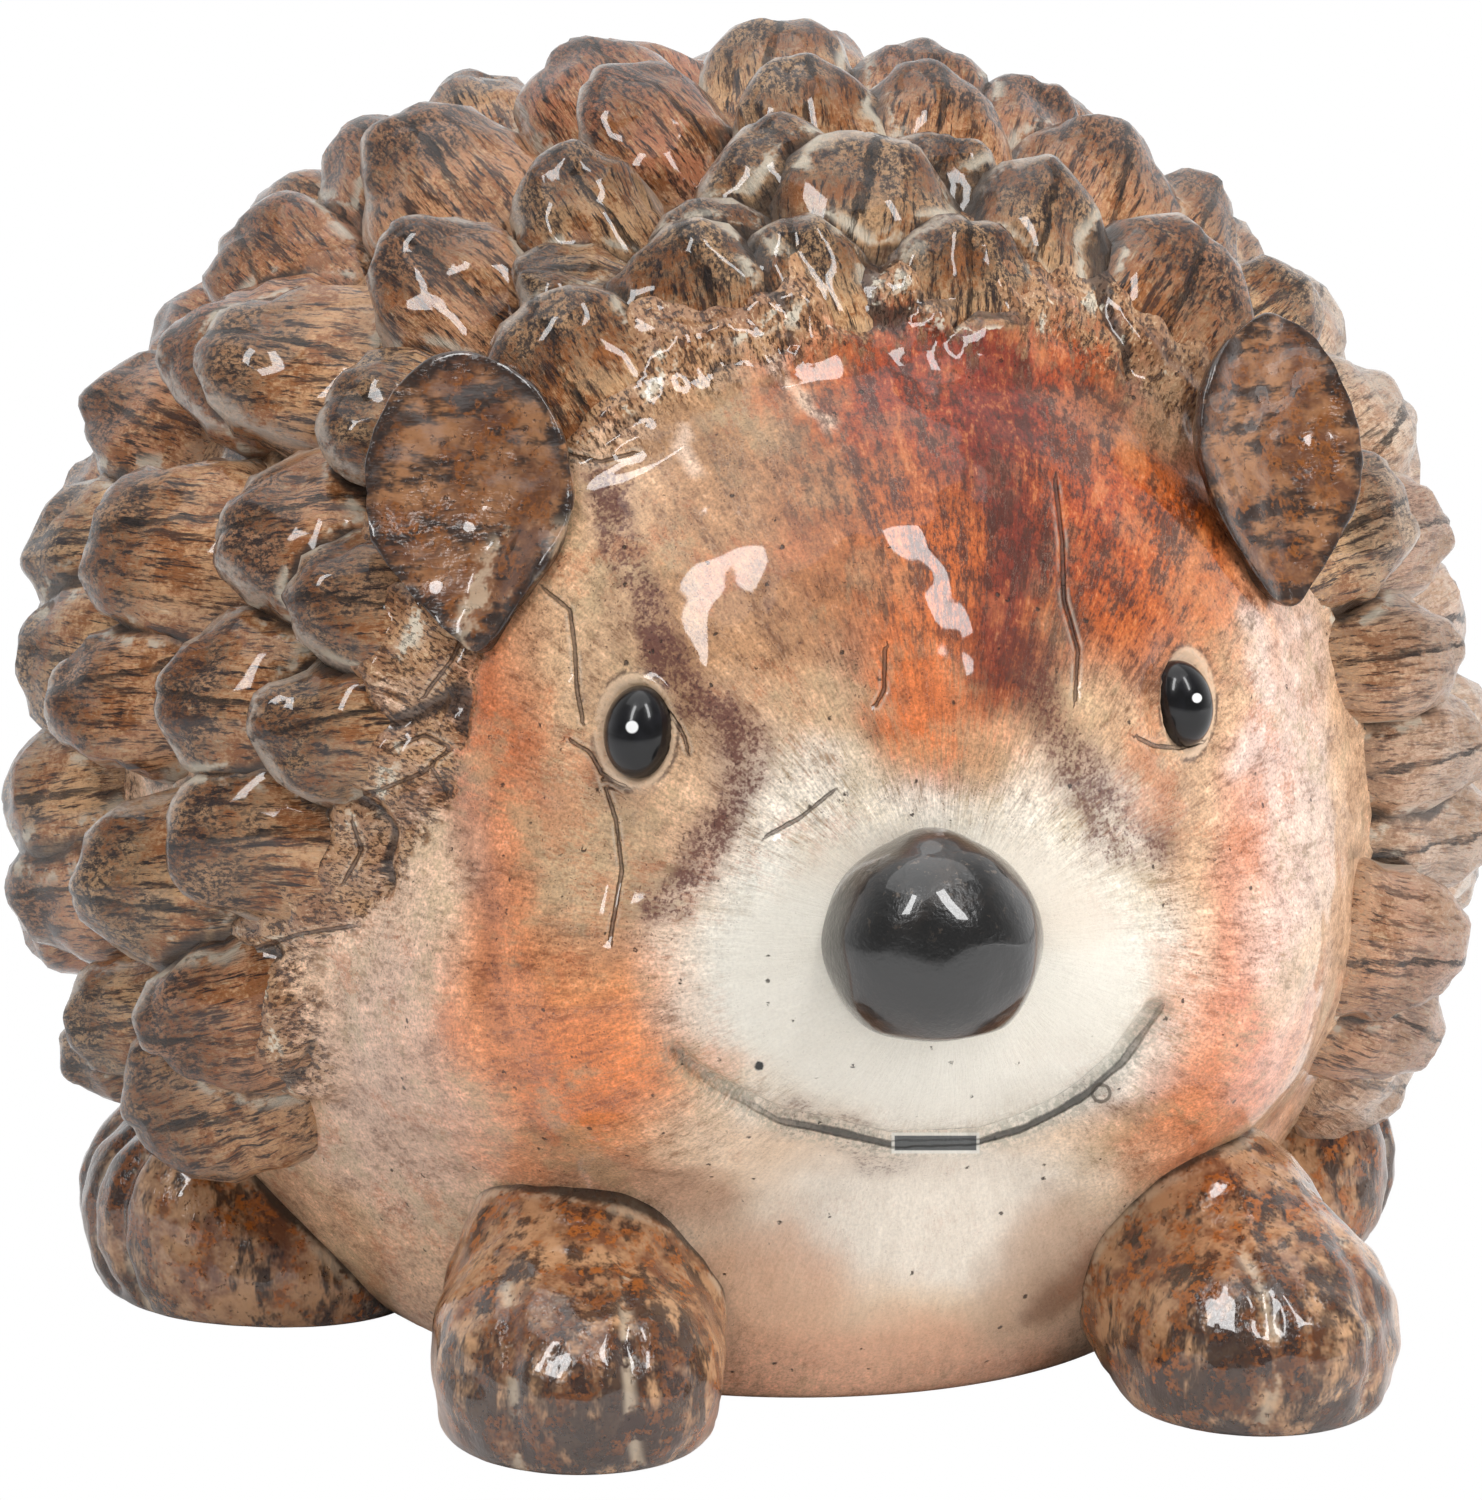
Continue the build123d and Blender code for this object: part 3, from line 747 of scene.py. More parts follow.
# quills: the photographed rows first, then the coat goes on round the trunk by formula
quillSizes = {
    "trunkCentre": (0.0, 8.13, 49.0),
    "ringTilt": 8.0,
    "coatReach": 69.9,
    "firstRing": 62.0,
    "ringPitch": 10.5,
    "ringCount": 12,
    "trunkRadius": 62.5,
    "spacing": 15.5,
    "clear": 10.0,
    "hem": 19.0,
    "sweep": 16.0,
    "sway": 8.0,
    "swayPhase": (2.4, 1.7),
    "scatter": 1.5,
    "tiltPhase": (1.9, 0.8),
    "asidePhase": (3.1, 1.3),
    "earTurn": 42.0,
    "earGap": 14.0,
    "lift": 43.0,
    "halfLength": 12.0,
    "halfWidth": 8.7,
    "topHeight": 6.2,
    "bottomHeight": 5.2,
    "squareness": 2.15,
    "tipTaper": 0.12,
    "tipLift": 1.3,
    "groove": 0.7,
    "grooveRate": 0.62,
    "lump": 1.3,
    "smallLump": 0.7,
    "crestTurn": 50.0,
    "crestLong": 1.15,
    "crestWide": 1.35,
    "segments": 30,
    "rings": 20,
    "rumpShares": {7: (1.1, 1.15, 1.0), 8: (1.15, 1.25, 2.0), 9: (1.3, 1.5, 4.5), 10: (1.6, 1.8, 6.0),
                   11: (1.5, 1.8, 2.0)},
    "seed": 11,
}
# the photographed quills, row by row; their tips, roots and widths were read off the photograph in pixels,
# and a separate script turned those into the tip's angle from the face, its turn from the crest, the heading
# off straight back, and the length and the width as shares
frontQuills = [
    [(60, -28, -4, 0.85, 0.9), (62, -14, 8, 0.8, 0.85), (61, -6, -6, 0.75, 0.7),
     (69, 3, 9, 1.0, 1.0), (61, 9, -6, 0.75, 0.7), (69, 17, -1, 1.0, 0.85),
     (69, 31, 13, 1.1, 1.0), (57, -61, -43, 1.05, 0.9), (55, -72, -29, 1.1, 0.9),
     (61, -84, -13, 1.15, 1.0), (65, -102, -10, 1.05, 0.95)],
    [(65, -29, -68, 0.75, 0.7), (66, -12, -3, 0.7, 0.9), (73, 10, 8, 0.7, 0.9),
     (88, 28, 13, 1.15, 1.0), (66, -47, -47, 0.75, 0.9), (66, -60, -45, 0.85, 1.0),
     (65, -73, -21, 0.9, 1.0), (72, -92, -12, 1.15, 1.1), (65, 59, 29, 0.9, 0.95),
     (63, 72, 27, 0.9, 0.75), (59, 99, 12, 0.9, 0.9)],
    [(77, -34, -15, 0.9, 0.9), (77, -21, -13, 0.8, 0.8), (73, -6, -24, 0.7, 1.1),
     (85, 12, 11, 0.8, 1.0), (90, 38, 21, 1.1, 0.85), (81, 45, 22, 0.9, 0.85),
     (83, -51, -46, 1.05, 1.1), (84, -68, -27, 1.15, 1.1), (81, -79, -21, 0.95, 0.9),
     (93, -99, -19, 1.15, 1.0), (80, -105, -1, 0.8, 0.75), (74, 66, 31, 0.85, 0.75),
     (70, 91, 16, 1.15, 0.9)],
    [(97, -29, -12, 1.15, 1.1), (88, -14, -27, 0.9, 0.95), (101, 3, 9, 1.0, 1.0),
     (98, 14, 10, 0.85, 0.95), (95, 23, 13, 1.05, 0.85), (89, -54, -55, 0.95, 1.15),
     (100, -74, -32, 1.15, 1.1), (95, -93, -25, 1.1, 1.0), (84, -110, -14, 0.95, 0.75),
     (66, 82, 20, 0.9, 0.8), (66, 108, 8, 1.05, 0.8)],
]


# where the photographed coat is reddest, in the picture
redPlaces = [(60, 900), (420, 270), (240, 390), (260, 300),
             (1020, 130), (910, 80), (330, 620), (640, 130)]


def quillFrame(ringAngle, turn, heading, lift):
    tilt = math.radians(quillSizes["ringTilt"])
    ahead = np.array([0, -math.cos(tilt), -math.sin(tilt)])
    top = np.array([0, -math.sin(tilt), math.cos(tilt)])
    ring, side = math.radians(ringAngle), math.radians(turn)
    spoke = top * math.cos(side) + np.array([1.0, 0, 0]) * math.sin(side)
    off = ahead * math.cos(ring) + spoke * math.sin(ring)
    back = -ahead * math.sin(ring) + spoke * math.cos(ring)
    beside = -top * math.sin(side) + np.array([1.0, 0, 0]) * math.cos(side)
    away = back * math.cos(math.radians(heading)) + beside * math.sin(math.radians(heading))
    slope = math.radians(lift)
    toTip = away * math.cos(slope) + off * math.sin(slope)
    offBack = off * math.cos(slope) - away * math.sin(slope)
    return off, np.stack([toTip, np.cross(offBack, toTip), offBack], 1)


def layOne(ring, ringAngle, turn, heading, long, wide):
    sizes = quillSizes
    off, axes = quillFrame(ringAngle, turn, heading, sizes["lift"])
    tip = np.array(sizes["trunkCentre"]) + off * sizes["coatReach"]
    place = tip - axes[:, 0] * sizes["halfLength"] * long
    if ring == 0 and abs(turn) < sizes["crestTurn"]:
        long, wide = long * sizes["crestLong"], wide * sizes["crestWide"]
    return ring, place, axes, (long, wide, 0.3 + 0.7 * wide)


def layQuills():
    sizes = quillSizes
    laid = [layOne(ring, *quill) for ring, row in enumerate(frontQuills) for quill in row]
    taken = [quill[1] for quill in laid]
    for ring in range(sizes["ringCount"]):
        ringAngle = sizes["firstRing"] + sizes["ringPitch"] * ring
        around = 2 * math.pi * sizes["trunkRadius"] * math.sin(math.radians(ringAngle))
        count = 1 if ring == sizes["ringCount"] - 1 else int(around / sizes["spacing"])
        for index in range(count):
            turn = 360 / count * (index + (ring % 2) / 2)
            turn = turn - 360 if turn > 180 else turn
            heading = sizes["sweep"] * math.sin(math.radians(turn))
            sway, tilt, aside = (math.sin(index * sizes[phase][0] + ring * sizes[phase][1])
                                 for phase in ("swayPhase", "tiltPhase", "asidePhase"))
            heading += sizes["sway"] * sway
            tilt *= sizes["scatter"]
            aside *= sizes["scatter"]
            quill = layOne(ring, ringAngle + tilt, turn + aside, heading, 1.0, 1.0)
            inEar = ring == 0 and abs(abs(turn) - sizes["earTurn"]) < sizes["earGap"]
            clear = all(np.linalg.norm(quill[1] - other) > sizes["clear"] for other in taken)
            if quill[1][2] > sizes["hem"] and clear and not inEar:
                laid.append(quill)
    return laid


# the quills of the rump grown and drawn toward the last one, so that less bare skin shows between them
def fattened(laid):
    grown = []
    for ring, place, axes, stretch in laid:
        share = quillSizes["rumpShares"].get(ring, (1.0, 1.0, 0.0))
        tip = place + axes[:, 0] * quillSizes["halfLength"] * stretch[0]
        out = (tip - quillSizes["trunkCentre"]) / np.linalg.norm(tip - quillSizes["trunkCentre"])
        along = axes[:, 0] - out * (axes[:, 0] @ out)
        tip = tip + along / np.linalg.norm(along) * share[2]
        stretch = (stretch[0] * share[0], stretch[1] * share[1], stretch[2] * (1 + (share[1] - 1) * 0.3))
        grown.append((ring, tip - axes[:, 0] * quillSizes["halfLength"] * stretch[0], axes, stretch))
    return grown


def quillTree(material):
    tree = bpy.data.node_groups.new("quillTree", "GeometryNodeTree")
    tree.interface.new_socket("Geometry", in_out="INPUT", socket_type="NodeSocketGeometry")
    tree.interface.new_socket("Geometry", in_out="OUTPUT", socket_type="NodeSocketGeometry")
    names = ["halfLength", "halfWidth", "topHeight", "bottomHeight", "squareness", "tipTaper", "tipLift"]
    for name in names:
        tree.interface.new_socket(name, in_out="INPUT", socket_type="NodeSocketFloat")
    given = tree.nodes.new("NodeGroupInput")
    taken = {name: Wire(tree, given.outputs[name]) for name in ["Geometry", *names]}
    ball = node(tree, "GeometryNodeMeshUVSphere", {},
                {"Segments": quillSizes["segments"], "Rings": quillSizes["rings"], "Radius": 1.0})
    turned = node(tree, "GeometryNodeTransform", {},
                  {"Geometry": ball, "Rotation": (0.0, math.radians(90), 0.0)})
    place = node(tree, "GeometryNodeInputPosition", {}, {})
    parts = [node(tree, "ShaderNodeSeparateXYZ", {}, {0: place}, axis) for axis in range(3)]
    power = taken["squareness"]
    total = sum((part.size() ** power for part in parts[1:]), parts[0].size() ** power)
    stretch = 1.0 / (total ** (1.0 / power))
    x, y, z = (part * stretch for part in parts)
    narrow = 1.0 - taken["tipTaper"] * x.floor(0.0) ** 2.0 - 0.12 * (-x).floor(0.0) ** 2.0
    tall = z.floor(0.0) * taken["topHeight"] - (-z).floor(0.0) * taken["bottomHeight"]
    tall = tall * (1.0 - 0.25 * x.floor(0.0) ** 2.0) + taken["tipLift"] * (x + 0.2).floor(0.0) ** 2.0
    shaped = node(tree, "ShaderNodeCombineXYZ", {},
                  {0: x * taken["halfLength"], 1: y * narrow * taken["halfWidth"], 2: tall})
    moved = node(tree, "GeometryNodeSetPosition", {}, {"Geometry": turned, "Position": shaped})
    shapedPlace = node(tree, "GeometryNodeInputPosition", {}, {})
    vectors = {"data_type": "FLOAT_VECTOR"}
    stored = node(tree, "GeometryNodeStoreNamedAttribute", {**vectors, "domain": "POINT"},
                  {"Geometry": moved, "Name": "local", "Value": shapedPlace})
    turn = node(tree, "GeometryNodeInputNamedAttribute", vectors, {"Name": "turn"})
    stretchBy = node(tree, "GeometryNodeInputNamedAttribute", vectors, {"Name": "stretch"})
    spun = node(tree, "FunctionNodeEulerToRotation", {}, {0: turn})
    spread = node(tree, "GeometryNodeInstanceOnPoints", {},
                  {"Points": taken["Geometry"], "Instance": stored, "Rotation": spun,
                   "Scale": stretchBy})
    real = node(tree, "GeometryNodeRealizeInstances", {}, {"Geometry": spread})
    painted = node(tree, "GeometryNodeSetMaterial", {}, {"Geometry": real, "Material": material})
    leaving = tree.nodes.new("NodeGroupOutput")
    tree.links.new(painted.socket, leaving.inputs["Geometry"])
    return tree


def quillColour(tree):
    local = attribute(tree, "local", 1)
    tone = attribute(tree, "tone")
    red = attribute(tree, "red")
    gap = attribute(tree, "gap")
    root = attribute(tree, "root")
    along, aside, over = (node(tree, "ShaderNodeSeparateXYZ", {}, {0: local}, axis) for axis in range(3))
    shift = node(tree, "ShaderNodeCombineXYZ", {}, {0: tone * 40.0, 1: tone * 23.0, 2: tone * 17.0})
    streak = fine(tree, stretched(tree, local, (0.16, 0.9, 0.9), shift), 1.0, 5.0, 0.75)
    finer = fine(tree, stretched(tree, local, (0.3, 2.4, 2.4), shift), 1.0, 4.0, 0.7)
    cloud = fine(tree, stretched(tree, local, (0.22, 0.22, 0.22), shift), 1.0, 4.0, 0.65)
    speck = fine(tree, stretched(tree, local, (2.0, 2.4, 2.4), shift), 1.0, 3.0, 0.7)
    lengthShare = along / quillSizes["halfLength"]
    out = (lengthShare ** 2.0 + (aside / quillSizes["halfWidth"]) ** 2.0) ** 0.5
    high = over / 6.0
    place = node(tree, "ShaderNodeTexCoord", {}, {}, 3)
    # painted light: on the right side the quills are painted paler, with weaker dark streaks and tips, for
    # the light falling from that side
    rightSideLight = node(tree, "ShaderNodeSeparateXYZ", {}, {0: place}, 0).ramp(0.044, 0.062)
    base = blend(tree, rightSideLight * 0.75, ink(156, 96, 50), ink(212, 178, 150))
    lighter = blend(tree, rightSideLight * 0.75, ink(230, 184, 136), ink(248, 232, 216))
    colour = blend(tree, (cloud + (speck - 0.5) * 0.5).ramp(0.36, 0.6), base, lighter)
    reddened = red * (cloud + (finer - 0.5) * 0.5).ramp(0.36, 0.6)
    colour = blend(tree, reddened * 0.75, colour, ink(178, 84, 48))
    weight = 1.0 - 0.66 * rightSideLight
    streaked = (streak + (finer - 0.5) * 0.5).ramp(0.5, 0.62) * weight
    colour = blend(tree, streaked * 0.88, colour, ink(62, 34, 22))
    colour = blend(tree, finer.ramp(0.56, 0.64) * 0.9 * weight, colour, ink(28, 18, 16))
    colour = blend(tree, (1.0 - finer).ramp(0.6, 0.7) * 0.55, colour, ink(224, 198, 166))
    tipward = (lengthShare + (cloud - 0.5) * 1.7 + (streak - 0.5) * 0.9).ramp(0.0, 0.7)
    colour = blend(tree, tipward * weight * (0.35 + 0.6 * speck.ramp(0.4, 0.6)), colour, ink(42, 32, 33))
    # painted reflection: a pale rim near each quill's edge, for the sheen of the bright room on the glaze
    rim = (out + (streak - 0.5) * 0.14).ramp(0.91, 0.98)
    rim = rim * high.ramp(0.02, 0.24) * high.ramp(0.75, 0.45)
    rim = rim * (cloud + (streak - 0.5) * 0.5).ramp(0.36, 0.54)
    colour = blend(tree, rim * 0.62, colour, ink(222, 204, 188))
    rooted = root.ramp(0.3, 0.9) * (streak + speck - 0.5).ramp(0.6, 0.4)
    colour = blend(tree, rooted * 0.7, colour, ink(196, 160, 128))
    cutPlace = aside + (streak - 0.5) * 3.4 + (tone - 0.5) * 5.0 - along * (tone - 0.5) * 0.5
    cut = cutPlace.size().ramp(0.4, 0.08) * (along + (tone - 0.5) * 8.0).ramp(-6.0, -1.0)
    cut = cut * high.ramp(0.0, 0.3)
    colour = blend(tree, cut * cloud.ramp(0.4, 0.5) * 0.85, colour, ink(48, 36, 30))
    flecks = gap.ramp(2.2, 1.1) * (1.0 - gap.ramp(1.0, 0.5)) * cloud.ramp(0.48, 0.56)
    colour = blend(tree, flecks * 0.8, colour, ink(218, 206, 186))
    # painted shade where a quill meets its neighbours and the skin, together with the dark glaze pooled
    # there
    creviceShade = (gap + (cloud - 0.5) * 3.0).ramp(1.1, 0.1)
    colour = blend(tree, creviceShade * 0.85, colour, ink(58, 50, 44))
    height = streak * 0.7 + finer * 0.5 - cut * 1.4 + cloud * 0.4
    return colour, height, 0.0012


# how far points are from a laid quill's own skin, negative inside
def quillGap(points, quill, rootward=20.0):
    place, axes, stretch = quill[1:]
    sizes = quillSizes
    local = (points - place) @ axes / np.array(stretch)
    x = local[:, 0] / sizes["halfLength"]
    z = local[:, 2] - sizes["tipLift"] * np.maximum(x + 0.2, 0) ** 2
    z = np.where(z > 0, z / sizes["topHeight"], z / sizes["bottomHeight"])
    narrow = 1 - sizes["tipTaper"] * np.clip(x, 0, 1) ** 2
    y = local[:, 1] / sizes["halfWidth"] / narrow
    power = sizes["squareness"]
    far = (np.abs(x) ** power + np.abs(y) ** power + np.abs(z) ** power) ** (1 / power)
    length = np.linalg.norm(local, axis=1)
    return length * (1 - 1 / np.maximum(far, 1e-3)) + np.maximum(-local[:, 0] - rootward, 0) * 0.8


def nearQuills(points, laid, skip=None, within=24.0, rootward=20.0):
    best = np.full(len(points), 9.0)
    for index, quill in enumerate(laid):
        if index == skip:
            continue
        near = np.linalg.norm(points - quill[1], axis=1) < within
        if near.any():
            best[near] = np.minimum(best[near], quillGap(points[near], quill, rootward))
    return np.maximum(best, 0)


def makeQuills(laid):
    material = glaze("quillGlaze", quillColour, roughness=0.45, coat=0.75, coatRoughness=0.05,
                     specular=0.25)
    tree = quillTree(material)
    chance = np.random.default_rng(quillSizes["seed"] + 1)
    made = []
    for ring in range(quillSizes["ringCount"]):
        chosen = [index for index, quill in enumerate(laid) if quill[0] == ring]
        mesh = bpy.data.meshes.new("quillSeeds")
        mesh.from_pydata([(laid[index][1] * mm).tolist() for index in chosen], [], [])
        turns = [Matrix(laid[index][2]).to_euler() for index in chosen]
        addVector(mesh, "turn", [list(turn) for turn in turns])
        addVector(mesh, "stretch", [laid[index][3] for index in chosen])
        addFloat(mesh, "tone", chance.uniform(0, 1, len(chosen)))
        across, down = sightOf([laid[index][1] for index in chosen])
        red = chance.uniform(0, 1, len(chosen)) ** 3 * 0.7
        for x, y in redPlaces:
            red = np.maximum(red, np.exp(-((across - x) ** 2 + (down - y) ** 2) / 80 ** 2) * 1.3)
        addFloat(mesh, "red", np.minimum(red, 1))
        addFloat(mesh, "which", chosen)
        seedPiece = bpy.data.objects.new("quillSeeds", mesh)
        bpy.context.scene.collection.objects.link(seedPiece)
        modifier = seedPiece.modifiers.new("quills", "NODES")
        modifier.node_group = tree
        given = [item for item in tree.interface.items_tree if item.in_out == "INPUT"]
        sockets = {item.name: item.identifier for item in given}
        for name in ("halfLength", "halfWidth", "topHeight", "bottomHeight", "tipLift"):
            modifier[sockets[name]] = quillSizes[name] * mm
        for name in ("squareness", "tipTaper"):
            modifier[sockets[name]] = quillSizes[name]
        seedPiece.update_tag()
        graph = bpy.context.evaluated_depsgraph_get()
        graph.update()
        finished = bpy.data.meshes.new_from_object(seedPiece.evaluated_get(graph))
        bpy.data.objects.remove(seedPiece)
        finished.name = f"quills{ring + 1:02d}"
        piece = bpy.data.objects.new(finished.name, finished)
        bpy.context.scene.collection.objects.link(piece)
        shapeQuills(piece, laid)
        made.append(piece)
    return made


def shapeQuills(piece, laid):
    mesh = piece.data
    points = np.zeros(len(mesh.vertices) * 3, np.float32)
    mesh.vertices.foreach_get("co", points)
    points = points.reshape(-1, 3).astype(float) / mm
    local = np.zeros(len(points) * 3, np.float32)
    mesh.attributes["local"].data.foreach_get("vector", local)
    mesh.attributes["local"].data.foreach_set("vector", local / mm)
    which = np.zeros(len(points), np.float32)
    mesh.attributes["which"].data.foreach_get("value", which)
    normals = np.zeros(len(points) * 3, np.float32)
    mesh.vertex_normals.foreach_get("vector", normals)
    normals = normals.reshape(-1, 3)
    rise = rough(points, 0.14, 31.0) * quillSizes["lump"]
    rise += rough(points, 0.38, 37.0) * quillSizes["smallLump"]
    length = local.reshape(-1, 3) / mm
    lanes = np.stack([which * 3.1, np.floor(length[:, 1] * 0.2 + 9), which * 0.7], 1)
    spread = rough(lanes, 1.0, 5.0) * 1.6
    waver = which * 1.7 + spread + rough(points, 0.3, 47.0) * 1.2
    ridge = np.abs(np.sin(length[:, 1] * quillSizes["grooveRate"] + waver))
    tipward = eased(length[:, 0], -4.0, 3.0) * (1 - 0.6 * eased(length[:, 0], 6.0, 11.0))
    rise -= (1 - ridge) ** 2 * quillSizes["groove"] * tipward
    points = points + normals * rise[:, None]
    points[:, 2] = np.maximum(points[:, 2], 0.3)
    gap = np.full(len(points), 9.0)
    for index in np.unique(which).astype(int):
        own = which == index
        gap[own] = nearQuills(points[own], laid, skip=index)
    along = local.reshape(-1, 3)[:, 0] / mm
    under = np.maximum(bodyGap(points), 0) + np.maximum(3.0 - along, 0)
    addFloat(mesh, "gap", np.minimum(gap, under))
    addFloat(mesh, "root", eased(-bodyGap(points), -3.5, 0.0))
    mesh.vertices.foreach_set("co", (points * mm).astype(np.float32).ravel())
    mesh.polygons.foreach_set("use_smooth", [True] * len(mesh.polygons))
    mesh.update()


# ears: a leaf-shaped dish each, pointed where it meets the cheek
earSizes = {
    "halfWidth": 9.4,
    "halfHeight": 12.8,
    "point": 0.42,
    "thickness": 2.7,
    "dish": 2.6,
    "back": 2.0,
    "clear": 1.3,
    "segments": 96,
    "rings": 52,
    "grain": 0.45,
}
# each ear's centre, then its turn outward and its leans back and out in degrees
earPlaces = {
    "left": (37.6, -42.0, 84.2, 24.0, 14.0, 8.0),
    "right": (-36.0, -42.5, 82.6, -26.0, 14.0, -9.0),
}


def glossyBrown(tree, light, middle, dark, gold, streakWay):
    place = node(tree, "ShaderNodeTexCoord", {}, {}, 3)
    gap = attribute(tree, "gap")
    rim = attribute(tree, "rim")
    streak = fine(tree, stretched(tree, place, streakWay), 1.0, 4.0, 0.7)
    cloud = fine(tree, place, 190.0, 4.0, 0.7)
    mottle = fine(tree, place, 420.0, 3.0, 0.7)
    speck = fine(tree, place, 1500.0, 2.0, 0.6)
    colour = blend(tree, cloud.ramp(0.36, 0.62), middle, light)
    colour = blend(tree, (streak + rim * 0.1).ramp(0.48, 0.6) * 0.9, colour, dark)
    golden = (mottle + (speck - 0.5) * 0.4).ramp(0.5, 0.6) * cloud.ramp(0.62, 0.45)
    colour = blend(tree, golden * 0.8, colour, gold)
    colour = blend(tree, rim * mottle.ramp(0.36, 0.6) * 0.9, colour, dark)
    colour = blend(tree, (mottle - streak * 0.5).ramp(0.34, 0.42) * 0.5, colour, dark)
    colour = blend(tree, speck.ramp(0.62, 0.75) * 0.6, colour, ink(44, 30, 26))
    colour = blend(tree, gap.ramp(1.8, 1.0) * cloud.ramp(0.48, 0.56) * 0.6, colour, ink(210, 190, 164))
    # painted shade where an ear or paw meets the body and in the toe grooves, together with the dark glaze
    # pooled there
    colour = blend(tree, (gap + (cloud - 0.5) * 2.0).ramp(1.0, 0.2) * 0.9, colour, ink(54, 48, 42))
    height = streak * 0.5 + mottle * 0.4 - speck.ramp(0.62, 0.75) * 0.3
    return colour, height, 0.0007


def earColour(tree):
    return glossyBrown(tree, ink(158, 110, 72), ink(98, 58, 34), ink(30, 18, 14), ink(140, 80, 26),
                       (150.0, 150.0, 420.0))


def makeEar(side):
    sizes = earSizes
    angles = np.linspace(0, math.pi, sizes["rings"] + 2)
    ringOf, turnOf = skinAngles(angles, sizes["segments"])
    out = np.sin(ringOf)
    low = np.maximum(-np.cos(turnOf), 0)
    narrow = 1 - sizes["point"] * low ** 1.5
    x = out * np.sin(turnOf) * narrow * sizes["halfWidth"]
    z = out * np.cos(turnOf) * (1 + 0.06 * low ** 3) * sizes["halfHeight"]
    front = np.maximum(np.cos(ringOf), 0)
    back = np.maximum(-np.cos(ringOf), 0)
    y = -front * sizes["thickness"] + front ** 1.6 * sizes["dish"] * 1.6
    y += back * (sizes["thickness"] + sizes["back"])
    points = np.stack([x, y, z], 1)
    faces = skinFaces(sizes["rings"], sizes["segments"])
    *centre, turnOut, leanBack, leanOut = earPlaces[side]
    turn = Matrix.Rotation(math.radians(turnOut), 3, "Z")
    turn = turn @ Matrix.Rotation(-math.radians(leanBack), 3, "X")
    turn = np.array(turn @ Matrix.Rotation(math.radians(leanOut), 3, "Y"))
    points = points @ turn.T + np.array(centre)
    fromStart = points - np.array(bodySizes["start"])
    fromStart /= np.linalg.norm(fromStart, axis=1)[:, None]
    raised = np.maximum(sizes["clear"] - bodyGap(points), 0) * eased(np.cos(ringOf), -0.25, 0.05)
    points = points + fromStart * raised[:, None]
    normals = outwardNormals(points, faces)
    rise = rough(points, 0.16, 41.0) * 0.8 + rough(points, 0.5, 43.0) * 0.3
    points = points + normals * (rise * sizes["grain"] * 2)[:, None]
    piece = addPiece(f"{side}Ear", points, faces, earGlaze)
    addFloat(piece.data, "gap", np.maximum(bodyGap(points), 0))
    addFloat(piece.data, "rim", eased(out, 0.8, 0.98))
    return piece


# paws: ovals run together, soles flat on the ground, toes cut by soft grooves
pawSizes = {
    "segments": 150,
    "rings": 96,
    "blend": 5.0,
    "floorBlend": 2.2,
    "front": {
        "start": (30.5, -47.0, 8.0),
        "ovals": [((28.5, -41.0, 12.0), (12.0, 13.0, 12.5)), ((31.0, -49.5, 6.5), (13.0, 15.0, 11.5))],
        "toes": [-5.6, 4.8],
        "toeTurn": 14.0,
        "toeDepth": 0.5,
        "shift": {"left": (1.8, -2.2), "right": (-2.6, -1.2)},
    },
    "hind": {
        "start": (50.0, 7.0, 7.0),
        "ovals": [((53.5, 9.0, 8.0), (11.5, 16.0, 12.0)), ((45.5, 2.0, 4.5), (13.0, 12.0, 9.5))],
        "toes": [-6.6, -1.4, 3.8],
        "toeTurn": 86.0,
        "toeDepth": 0.9,
        "shift": {"left": (0.0, 0.0), "right": (0.0, 0.0)},
    },
}


def pawReach(kind, rays):
    sizes = pawSizes[kind]
    reach = None
    for centre, halves in sizes["ovals"]:
        far = ovalReach(sizes["start"], rays, centre, halves)
        reach = far if reach is None else joined(reach, far, pawSizes["blend"])
    down = -rays[:, 2]
    under = np.where(down > 1e-3, sizes["start"][2] / np.maximum(down, 1e-3), 1e3)
    return -joined(-reach, -np.minimum(under, 1e3), pawSizes["floorBlend"])


def pawColour(tree):
    return glossyBrown(tree, ink(196, 152, 112), ink(116, 70, 44), ink(42, 26, 22), ink(188, 108, 40),
                       (300.0, 300.0, 110.0))


